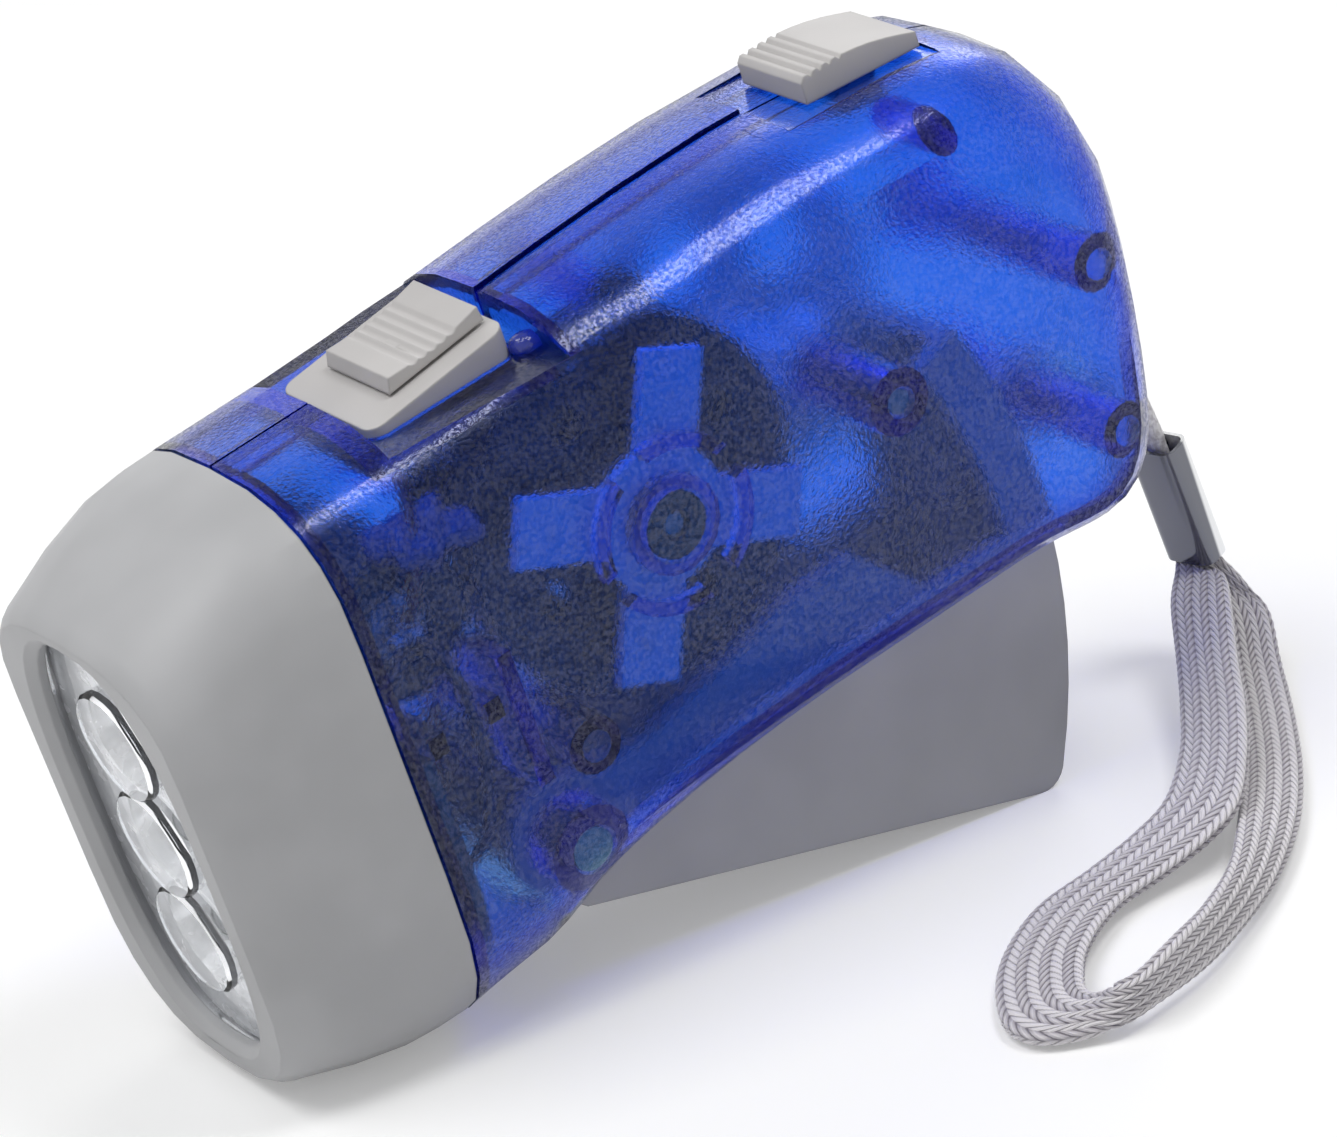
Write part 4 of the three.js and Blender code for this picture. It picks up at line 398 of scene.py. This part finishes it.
def make_floor():
    half = FLOOR_SIZE / 2
    flow, shader, material = finish("table_white", Base_Color=(FLOOR_WHITE,) * 3 + (1,), Roughness=0.9)
    feed(flow, shader, Emission_Strength=seen_directly(flow) * FLOOR_LIFT)
    shader.inputs["Emission Color"].default_value = (1, 1, 1, 1)
    corners = [(-half, -half, 0), (half, -half, 0), (half, half, 0), (-half, half, 0)]
    floor = mesh_piece("table", corners, [(0, 1, 2, 3)], material, smooth=False)


def make_lamps():
    for name, (place, size, power) in LAMPS_OVER_TABLE.items():
        light = bpy.data.lights.new(name, "AREA")
        light.shape = "SQUARE"
        light.size = size
        light.energy = power
        lamp = link(bpy.data.objects.new(name, light))
        lamp.location = place
        lamp.rotation_euler = (LAMP_AIM - Vector(place)).to_track_quat("-Z", "Y").to_euler()


def make_room():
    world = bpy.data.worlds.new("room")
    world.use_nodes = True
    bpy.context.scene.world = world
    flow = Flow(world.node_tree)
    height = flow.node("ShaderNodeTexCoord", output="Generated").part("Z")
    ceiling = height.between(CEILING_FROM, 1) * CEILING_DARK
    level = (seen_directly(flow) * (1 - ROOM_LIGHT) + ROOM_LIGHT) * (1 - ceiling)
    shader = world.node_tree.nodes["Background"]
    flow.tree.links.new(level.socket, shader.inputs["Strength"])
    shader.inputs["Color"].default_value = (1, 1, 1, 1)


make_floor()
make_room()
make_lamps()


# Clear shells
# Two mirrored halves moulded in see-through blue styrene with a fine-grained face, screwed together.
# The colour lies in the depth of the plastic, so thick bosses and ribs turn a deep blue.
SHELL_TINT = (0.42, 0.86, 1, 1)
SHELL_ABSORB = (0.25, 0.52, 0.935, 1)
SHELL_DENSITY = 1000
SHELL_SHEEN = (0.28, 0.34, 0.6, 1)
SHELL_SHADOW = (0.36, 0.6, 0.95, 1)
SHELL_GRAIN = 0.32 * MM
WELD_REACH = 0.001 * MM
CREASE_MOULDED = 24
CREASE_TURNED = 40
ROUNDING_STEPS = 3


def let_lamps_through(flow, shader, tint):
    """Lets the lamps' light pass a clear wall in a straight line, coloured by tint."""
    passing = flow.node("ShaderNodeBsdfTransparent", None, {0: tint})
    lamp_ray = flow.node("ShaderNodeLightPath", output="Is Shadow Ray")
    mixed = flow.node("ShaderNodeMixShader", None, {
        0: lamp_ray, 1: Flow(flow.tree, shader.outputs[0]), 2: passing})
    flow.tree.links.new(mixed.socket, flow.tree.nodes["Material Output"].inputs["Surface"])


def shell_finish():
    flow, shader, material = finish("clear_blue", Base_Color=SHELL_TINT, IOR=1.46, Transmission_Weight=1,
                                    Specular_Tint=SHELL_SHEEN, Coat_Roughness=0.11)
    grain = places(flow).noise(SHELL_GRAIN)
    rubbed = places(flow).noise(14 * MM, 4).between(0.35, 0.7)
    feed(flow, shader, Roughness=rubbed * 0.06 + 0.15, Coat_Weight=grain.between(0.35, 0.68) * 0.9,
         Normal=grain.bump(0.05 * MM, 0.8))
    let_lamps_through(flow, shader, SHELL_SHADOW)
    body = flow.node("ShaderNodeVolumeAbsorption", None, {0: SHELL_ABSORB, 1: SHELL_DENSITY})
    flow.tree.links.new(body.socket, flow.tree.nodes["Material Output"].inputs["Volume"])
    return material


def smooth_over(crease):
    """Nodes that shade faces as one smooth skin wherever they meet at less than crease degrees."""
    group = bpy.data.node_groups.new(f"smooth_{crease}", "GeometryNodeTree")
    group.interface.new_socket("Geometry", in_out="INPUT", socket_type="NodeSocketGeometry")
    group.interface.new_socket("Geometry", in_out="OUTPUT", socket_type="NodeSocketGeometry")
    flow = Flow(group)
    start = flow.node("NodeGroupInput")
    joined = flow.node("GeometryNodeMergeByDistance", None, {"Geometry": start, "Distance": 0.01 * MM})
    faces = flow.node("GeometryNodeSetShadeSmooth", {"domain": "FACE"}, {"Geometry": joined})
    sharp = flow.node("GeometryNodeInputMeshEdgeAngle").above(radians(crease))
    edges = flow.node("GeometryNodeSetShadeSmooth", {"domain": "EDGE"}, {
        "Geometry": faces, "Selection": sharp, "Shade Smooth": False})
    group.links.new(edges.socket, group.nodes.new("NodeGroupOutput").inputs["Geometry"])
    return group


skins = {crease: smooth_over(crease) for crease in (CREASE_MOULDED, CREASE_TURNED)}


def dress(names, material, crease=CREASE_MOULDED, rounding=0):
    """Gives carried-over CAD nodes their finish, shaded smoothly, with edges rounded by rounding."""
    for name in [names] if isinstance(names, str) else names:
        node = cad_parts[name]
        node.data.materials.clear()
        node.data.materials.append(material)
        if "custom_normal" in node.data.attributes:
            node.data.attributes.remove(node.data.attributes["custom_normal"])
        skin = node.modifiers.new("skin", "NODES")
        skin.node_group = skins[crease]
        if rounding:
            edges = node.modifiers.new("rounded_edges", "BEVEL")
            edges.limit_method = "ANGLE"
            edges.angle_limit = radians(crease)
            edges.width = rounding
            edges.segments = ROUNDING_STEPS


dress(["left_shell", "right_shell"], shell_finish())

GATE_BUMP_PLACE = (-9.4, -7.3, 57.7)
GATE_BUMP_RADII = (1.7, 1.3, 1.2)
GATE_BLUE = (0.03, 0.06, 0.5, 1)


def dome(name, place, radii, material, rows=12, around=24):
    """A round lump about a point, in mm."""
    lift = (np.arange(rows + 1) / rows - 0.5) * pi
    turn = np.arange(around) * 2 * pi / around
    ball = np.stack([np.cos(lift)[:, None] * np.cos(turn)[None, :],
                     np.cos(lift)[:, None] * np.sin(turn)[None, :],
                     np.repeat(np.sin(lift)[:, None], around, axis=1)], axis=2)
    points = (np.array(place) + ball.reshape(-1, 3) * np.array(radii)) * MM
    lump = mesh_piece(name, points, tube_faces(rows + 1, around)[:-2], material)
    welded = lump.modifiers.new("welded", "WELD")
    welded.merge_threshold = WELD_REACH
    return lump


def make_gate_bump():
    """The lump that the mould's gate leaves on the left shell, behind the switch plate."""
    flow, shader, material = finish("gate_blue", Base_Color=GATE_BLUE, Roughness=0.12,
                                    Transmission_Weight=0.5)
    ripple = places(flow).noise(0.9 * MM, 2)
    feed(flow, shader, Normal=ripple.bump(0.25 * MM, 0.8))
    lump = dome("gate_bump", GATE_BUMP_PLACE, GATE_BUMP_RADII, material)
    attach(lump, "case")


make_gate_bump()


# Head
# A satin grey bezel pushed over the shells' neck, with a clear window behind its lip that has a
# raised pad before each lamp. Behind it sits a metallised reflector with three cups, and behind
# that the lamps on their board.
LAMPS = ["led_1", "led_2", "led_3"]
HEAD_GREY = (0.43, 0.433, 0.445)
HEAD_ROUNDING = 0.3 * MM
SATIN_GRAIN = 0.2 * MM
WINDOW_BENDING = 1.22
WINDOW_TINT = (0.97, 0.98, 1, 1)
WINDOW_SHADOW = (0.96, 0.97, 0.98, 1)
METAL_DULL = (0.8, 0.81, 0.82)
METAL_BRIGHT = (0.95, 0.95, 0.95)
BOARD_LACQUER = (0.008, 0.05, 0.024)
BOARD_TRACKS = (0.02, 0.1, 0.045)


def satin_plastic(name, colour, roughness=0.5):
    flow, shader, material = finish(name, Roughness=roughness, IOR=1.5)
    spots = places(flow)
    tone = spots.noise(11 * MM, 2).between(0.3, 0.7)
    light = tuple(min(1, value * 1.05) for value in colour)
    dark = tuple(value * 0.95 for value in colour)
    rounded = flow.node("ShaderNodeBevel", None, {"Radius": 0.35 * MM})
    feed(flow, shader, Base_Color=tone.colours(dark, light),
         Normal=spots.noise(SATIN_GRAIN, 2).bump(0.006 * MM, 0.6, rounded))
    return material


def window_finish():
    flow, shader, material = finish("clear_window", Base_Color=WINDOW_TINT, IOR=WINDOW_BENDING,
                                    Transmission_Weight=1)
    scuffs = places(flow).noise(5 * MM, 4).between(0.45, 0.75)
    feed(flow, shader, Roughness=scuffs * 0.06 + 0.02)
    let_lamps_through(flow, shader, WINDOW_SHADOW)
    return material


def reflector_finish():
    flow, shader, material = finish("metallised", Metallic=0.4)
    cloud = places(flow).noise(2.2 * MM, 3)
    bright = cloud.between(0.3, 0.7)
    feed(flow, shader, Base_Color=bright.colours(METAL_DULL, METAL_BRIGHT), Roughness=bright * 0.2 + 0.12,
         Normal=places(flow).noise(1.1 * MM, 3).bump(0.12 * MM, 0.6))
    return material


def board_finish():
    flow, shader, material = finish("green_board", Roughness=0.35)
    spots = places(flow)
    tracks = spots.stretched(1, 1, 0.4).noise(2.2 * MM, 0).between(0.48, 0.53)
    feed(flow, shader, Base_Color=tracks.colours(BOARD_LACQUER, BOARD_TRACKS))
    return material


dress("head_bezel", satin_plastic("head_grey", HEAD_GREY, 0.46), rounding=HEAD_ROUNDING)
clear = window_finish()
dress("lens_window", clear)
dress("reflector", reflector_finish(), CREASE_TURNED)
dress(LAMPS, clear, CREASE_TURNED)
green = board_finish()
dress("led_board", green)


# Lever, pin and spring
# A grey squeeze lever moulded as an open trough, with a toothed rack inside its rear arc.
# It turns on a steel pin, and a torsion spring wound round the pin pushes it out.
LEVER_GREY = (0.38, 0.382, 0.397)
LEVER_ROUNDING = 0.25 * MM
BRIGHT_STEEL = (0.58, 0.59, 0.61)
PIN_STEEL = (0.2, 0.21, 0.23)
DRAWN_STREAK = 0.15 * MM


def drawn_steel(name, colour, roughness):
    flow, shader, material = finish(name, Metallic=1)
    spots = places(flow)
    lines = spots.stretched(1, 0.06, 1).noise(DRAWN_STREAK, 3)
    feed(flow, shader, Roughness=lines.between(0.3, 0.7) * 0.14 + roughness,
         Base_Color=spots.noise(6 * MM, 2).between(0.3, 0.7).colours(
             tuple(value * 0.9 for value in colour), colour))
    return material


steel = drawn_steel("drawn_steel", BRIGHT_STEEL, 0.28)
pin_steel = drawn_steel("pin_steel", PIN_STEEL, 0.36)
dress("lever", satin_plastic("lever_grey", LEVER_GREY, 0.48), rounding=LEVER_ROUNDING)
dress("return_spring", steel, CREASE_TURNED)
dress("lever_pin", pin_steel, CREASE_TURNED)


# Gear train
# White nylon gears: a wide pinion that meets the rack, a large wheel beside it, and the
# flywheel's small pinion. They run on steel pins with a trace of grease.
NYLON_WHITE = (0.78, 0.8, 0.82)
NYLON_DEPTH = 1 * MM


def nylon_finish():
    flow, shader, material = finish("white_nylon", Roughness=0.42, Subsurface_Weight=0.15,
                                    Subsurface_Radius=(NYLON_DEPTH,) * 3)
    spots = places(flow)
    grease = spots.noise(3 * MM, 3).between(0.55, 0.7)
    greasy = tuple(value * 0.8 for value in NYLON_WHITE)
    feed(flow, shader, Base_Color=grease.colours(NYLON_WHITE, greasy),
         Normal=spots.noise(0.3 * MM, 2).bump(0.01 * MM, 0.4))
    return material


nylon = nylon_finish()
dress(["drive_gear", "flywheel_pinion", "flywheel_spider", "coil_spool"], nylon)
dress(["gear_axle", "flywheel_shaft"], pin_steel, CREASE_TURNED)


# Flywheel and dynamo
# A dark iron cup with a ring magnet inside turns round a claw-pole coil on a black bracket.
# The cup is carried by a four-armed nylon spider on the shaft, in bushes pressed into the shells.
IRON_DARK = (0.06, 0.062, 0.068)
FERRITE = (0.05, 0.05, 0.055)
COPPER = (0.6, 0.25, 0.1, 1)
WINDING_PITCH = 0.25 * MM
BLACK = (0.02, 0.02, 0.022)


def iron_finish(name, colour, roughness, metallic=0.6):
    flow, shader, material = finish(name, Roughness=roughness, Metallic=metallic)
    spots = places(flow)
    feed(flow, shader, Base_Color=spots.noise(2 * MM, 4).between(0.3, 0.7).colours(
        tuple(value * 0.7 for value in colour), colour),
         Normal=spots.noise(0.4 * MM, 3).bump(0.02 * MM, 0.6))
    return material


def winding_finish():
    flow, shader, material = finish("copper_winding", Base_Color=COPPER, Metallic=0.9, Roughness=0.3)
    turns = (places(flow).part("Y") * (2 * pi / WINDING_PITCH)).wave()
    feed(flow, shader, Normal=turns.bump(0.05 * MM, 0.8))
    return material


black = satin_plastic("black_plastic", BLACK, 0.45)
dress(["flywheel_cup", "claw_pole_outer", "claw_pole_inner"], iron_finish("dark_iron", IRON_DARK, 0.45))
dress("magnet_ring", iron_finish("ferrite", FERRITE, 0.65, 0.1))
dress("coil_winding", winding_finish(), CREASE_TURNED)
dress(["dynamo_bracket", "shaft_bush_left", "shaft_bush_right"], black)
dress(["bracket_screw_1", "bracket_screw_2"], steel)


# Switch and lock
# A pale plate snaps into the crown of the body; its ribbed knob slides forward to light the lamps.
# A second ribbed slider over the tail, taken to be the lever's lock, runs on a ramp in the seam of the
# shells with its foot hooked in a slot.
BUTTON_GREY = (0.51, 0.495, 0.49)
BUTTON_ROUNDING = 0.22 * MM
button = satin_plastic("button_grey", BUTTON_GREY)
dress(["switch_plate", "switch_knob", "lock_slider"], button, rounding=BUTTON_ROUNDING)
dress("switch_body", steel)


# Cells, board and case screws
# Three button cells in a black sleeve across the front, and a board below them with a capacitor and
# four diodes, wired by hand with melt glue on the wires. Three self-tapping screws with cross heads
# enter from the right shell.
CELL_STEEL = (0.3, 0.3, 0.31)
dress(["cell_1", "cell_2", "cell_3"], drawn_steel("cell_steel", CELL_STEEL, 0.3))
dress(["cell_sleeve", "capacitor", "diode_1", "diode_2", "diode_3", "diode_4"], black,
      CREASE_TURNED)
dress("circuit_board", green)
dress(["case_screw_1", "case_screw_2", "case_screw_3"], steel)

NOSE_TILT = radians(12.665483)
NOSE_PLACE = (-47.749, 22.789)
WIRE_THICK = 1.1
WIRE_STEPS = 8
WIRE_AROUND = 12
WIRE_RED = (0.5, 0.03, 0.03)
WIRE_BLACK = (0.02, 0.02, 0.025)
WIRE_VIOLET = (0.03, 0.02, 0.03)
WIRE_ROUTES = {
    "switch_wire": (WIRE_RED, [
        (32.5, -2.2, 20.2), (31.0, -5.0, 20.8), (29.0, -8.6, 19.6), (27.0, -10.6, 16.5),
        (25.6, -10.4, 12.8), (24.8, -9.2, 10.8)]),
    "lamp_wire": (WIRE_BLACK, [
        (23.8, -9.2, 9.6), (21.5, -10.6, 8.0), (18.0, -11.0, 9.0), (15.0, -10.2, 10.4),
        (13.0, -9.0, 11.5)]),
    "board_wire": (WIRE_VIOLET, [
        (25.6, -9.3, 9.4), (26.6, -11.4, 5.0), (26.2, -12.0, -2.0), (24.4, -11.8, -8.5),
        (21.9, -10.0, -12.0)]),
    "coil_wire_1": (WIRE_RED, [
        (33.6, -0.6, 1.6), (30.0, -3.0, 1.2), (26.6, -6.0, 1.6), (24.0, -8.0, -1.0),
        (21.9, -8.4, -4.2)]),
    "coil_wire_2": (WIRE_BLACK, [
        (33.4, 0.4, 0.2), (29.6, -1.4, -0.6), (26.8, -1.0, -3.0), (24.6, -0.2, -6.6),
        (21.9, 0.2, -9.0)]),
}
SOLDER_SPOTS = [
    (21.4, -10.0, -12.0), (21.4, -8.4, -4.2), (21.4, 0.2, -9.0), (21.4, 7.4, -2.2), (21.4, 1.0, -2.2),
    (21.4, 7.4, -5.0), (21.4, 1.0, -5.0), (19.9, -9.0, -14.0), (19.9, -4.0, -6.0), (19.9, 5.0, -8.0),
    (12.7, -9.0, 11.5), (24.8, -8.9, 10.8), (25.6, -8.9, 9.4), (23.8, -8.9, 9.6),
]
SOLDER_RADIUS = 0.85
SOLDER_ROWS = 6
SOLDER_AROUND = 14
SOLDER_GREY = (0.6, 0.61, 0.63, 1)
GLUE_PLACE = (28.5, -9.6, 17.0)
GLUE_RADII = (4.8, 1.8, 2.6)
GLUE_RIPPLE = 0.16
GLUE_ROWS = 24
GLUE_AROUND = 48
GLUE_MILKY = (0.2, 0.17, 0.3, 1)
CROSS_REACH = 1.25
CROSS_WIDTH = 0.55
CROSS_LOW = -0.2
CROSS_HIGH = 0.03
SCREW_TURNS = (0.4, 1.1, 0.1)


def from_nose(points):
    """Points in the torch's own axes, back from its nose and up from its seam, to where they stand."""
    x, y, z = np.array(points, float).T
    return np.stack([cos(NOSE_TILT) * x - sin(NOSE_TILT) * z + NOSE_PLACE[0], y,
                     sin(NOSE_TILT) * x + cos(NOSE_TILT) * z + NOSE_PLACE[1]], axis=1)


def round_tube(line, radius, around):
    """The points of a round tube along a line of points, ring by ring."""
    along = units(np.gradient(line, axis=0))
    side = units(np.cross(along, np.array([[0.1, 0.2, 1.0]])))
    up = np.cross(side, along)
    turn = np.arange(around) * 2 * pi / around
    return (line[:, None, :] + radius * (np.cos(turn)[None, :, None] * side[:, None, :]
                                         + np.sin(turn)[None, :, None] * up[:, None, :])).reshape(-1, 3)


def make_wires():
    for name, (colour, route) in WIRE_ROUTES.items():
        line = curve_through(from_nose(route), WIRE_STEPS)
        wire = mesh_piece(name, round_tube(line, WIRE_THICK / 2, WIRE_AROUND) * MM,
                          tube_faces(len(line), WIRE_AROUND), satin_plastic(name, colour, 0.4))
        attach(wire, "case")


def solder_finish():
    flow, shader, material = finish("solder", Base_Color=SOLDER_GREY, Metallic=1)
    dull = places(flow).noise(0.8 * MM, 3).between(0.3, 0.7)
    feed(flow, shader, Roughness=dull * 0.25 + 0.18, Normal=dull.bump(0.05 * MM, 0.4))
    return material


def make_solder():
    """A drop of solder over each joint, all in one piece."""
    lift = (np.arange(SOLDER_ROWS + 1) / SOLDER_ROWS - 0.5)[:, None] * pi
    turn = (np.arange(SOLDER_AROUND) * 2 * pi / SOLDER_AROUND)[None, :]
    drop = SOLDER_RADIUS * np.stack([np.sin(lift) + 0 * turn, np.cos(lift) * np.cos(turn),
                                     np.cos(lift) * np.sin(turn)], axis=2).reshape(-1, 3)
    points = (from_nose(SOLDER_SPOTS)[:, None, :] + drop[None, :, :]).reshape(-1, 3) * MM
    quads = np.array(tube_faces(SOLDER_ROWS + 1, SOLDER_AROUND)[:-2])
    faces = np.concatenate([quads + len(drop) * index for index in range(len(SOLDER_SPOTS))])
    solder = mesh_piece("solder_joints", points, faces.tolist(), solder_finish())
    welded = solder.modifiers.new("welded", "WELD")
    welded.merge_threshold = WELD_REACH
    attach(solder, "case")


def make_glue():
    """The lump of melt glue that holds the wires on the cells' sleeve."""
    flow, shader, material = finish("melt_glue", Base_Color=GLUE_MILKY, Roughness=0.12,
                                    Transmission_Weight=0.3)
    creased = places(flow).noise(1.6 * MM, 4, 0.7)
    feed(flow, shader, Normal=creased.bump(0.8 * MM, 1))
    place = from_nose([GLUE_PLACE])[0]
    lump = dome("melt_glue", place, GLUE_RADII, material, GLUE_ROWS, GLUE_AROUND)
    middle = Vector(place) * MM
    for point in lump.data.vertices:
        x, y, z = point.co / MM
        swell = sin(1.3 * x + 0.9 * z) + sin(1.7 * y - 1.5 * z) + sin(2.1 * x - 1.1 * y)
        point.co += (point.co - middle) * GLUE_RIPPLE * swell
    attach(lump, "case")


def make_screw_crosses():
    """A dark steel cross inlaid in the head of each case screw: painted shade standing in for the shade of
    its cross recess.
    """
    half, wide = CROSS_REACH, CROSS_WIDTH / 2
    outline = [
        (half, -wide), (half, wide), (wide, wide), (wide, half), (-wide, half), (-wide, wide),
        (-half, wide), (-half, -wide), (-wide, -wide), (-wide, -half), (wide, -half), (wide, -wide)]
    points, faces = [], []
    for index, turn in enumerate(SCREW_TURNS):
        low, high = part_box(f"case_screw_{index + 1}")
        middle = ((low[0] + high[0]) / 2, (low[2] + high[2]) / 2)
        for side in (high[1] + CROSS_LOW * MM, high[1] + CROSS_HIGH * MM):
            for x, z in outline:
                points.append((middle[0] + (x * cos(turn) - z * sin(turn)) * MM, side,
                               middle[1] + (x * sin(turn) + z * cos(turn)) * MM))
        count, first = len(outline), index * 2 * len(outline)
        faces.append([first + count + step for step in range(count)])
        faces.append([first + step for step in reversed(range(count))])
        faces += [(first + step, first + (step + 1) % count, first + count + (step + 1) % count,
                   first + count + step) for step in range(count)]
    crosses = mesh_piece("screw_crosses", points, faces, pin_steel, smooth=False)
    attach(crosses, "case")


make_wires()
make_solder()
make_glue()
make_screw_crosses()


# Ferrule
# A folded sleeve of polished nickel-plated steel, crimped over both ends of the braid.
# Its colour is painted light: a painted highlight along the fold that faces away from the torch, and
# painted shade and dark painted reflection over the rest of the sleeve.
FERRULE_LEAN = 0.27
FERRULE_FOLD = (0.0688, 0.0692)
# Painted shade for most of the sleeve and a painted highlight for its far fold, standing in for
# reflections of the room.
FERRULE_PAINTED_SHADE = (0.17, 0.175, 0.2)
FERRULE_PAINTED_HIGHLIGHT = (0.78, 0.79, 0.8)


def ferrule_finish():
    flow, shader, material = finish("polished_steel", Metallic=1)
    spots = places(flow)
    fold = spots.part("X") + spots.part("Z") * FERRULE_LEAN
    # Base colour: painted shade on one side of the fold line and a painted highlight on the other.
    feed(flow, shader, Base_Color=fold.between(*FERRULE_FOLD).colours(FERRULE_PAINTED_SHADE, FERRULE_PAINTED_HIGHLIGHT),
         Roughness=spots.noise(2 * MM, 3).between(0.3, 0.7) * 0.1 + 0.12,
         Normal=spots.noise(1.2 * MM, 2).bump(0.02 * MM, 0.3))
    return material


dress("strap_ferrule", ferrule_finish(), CREASE_TURNED)
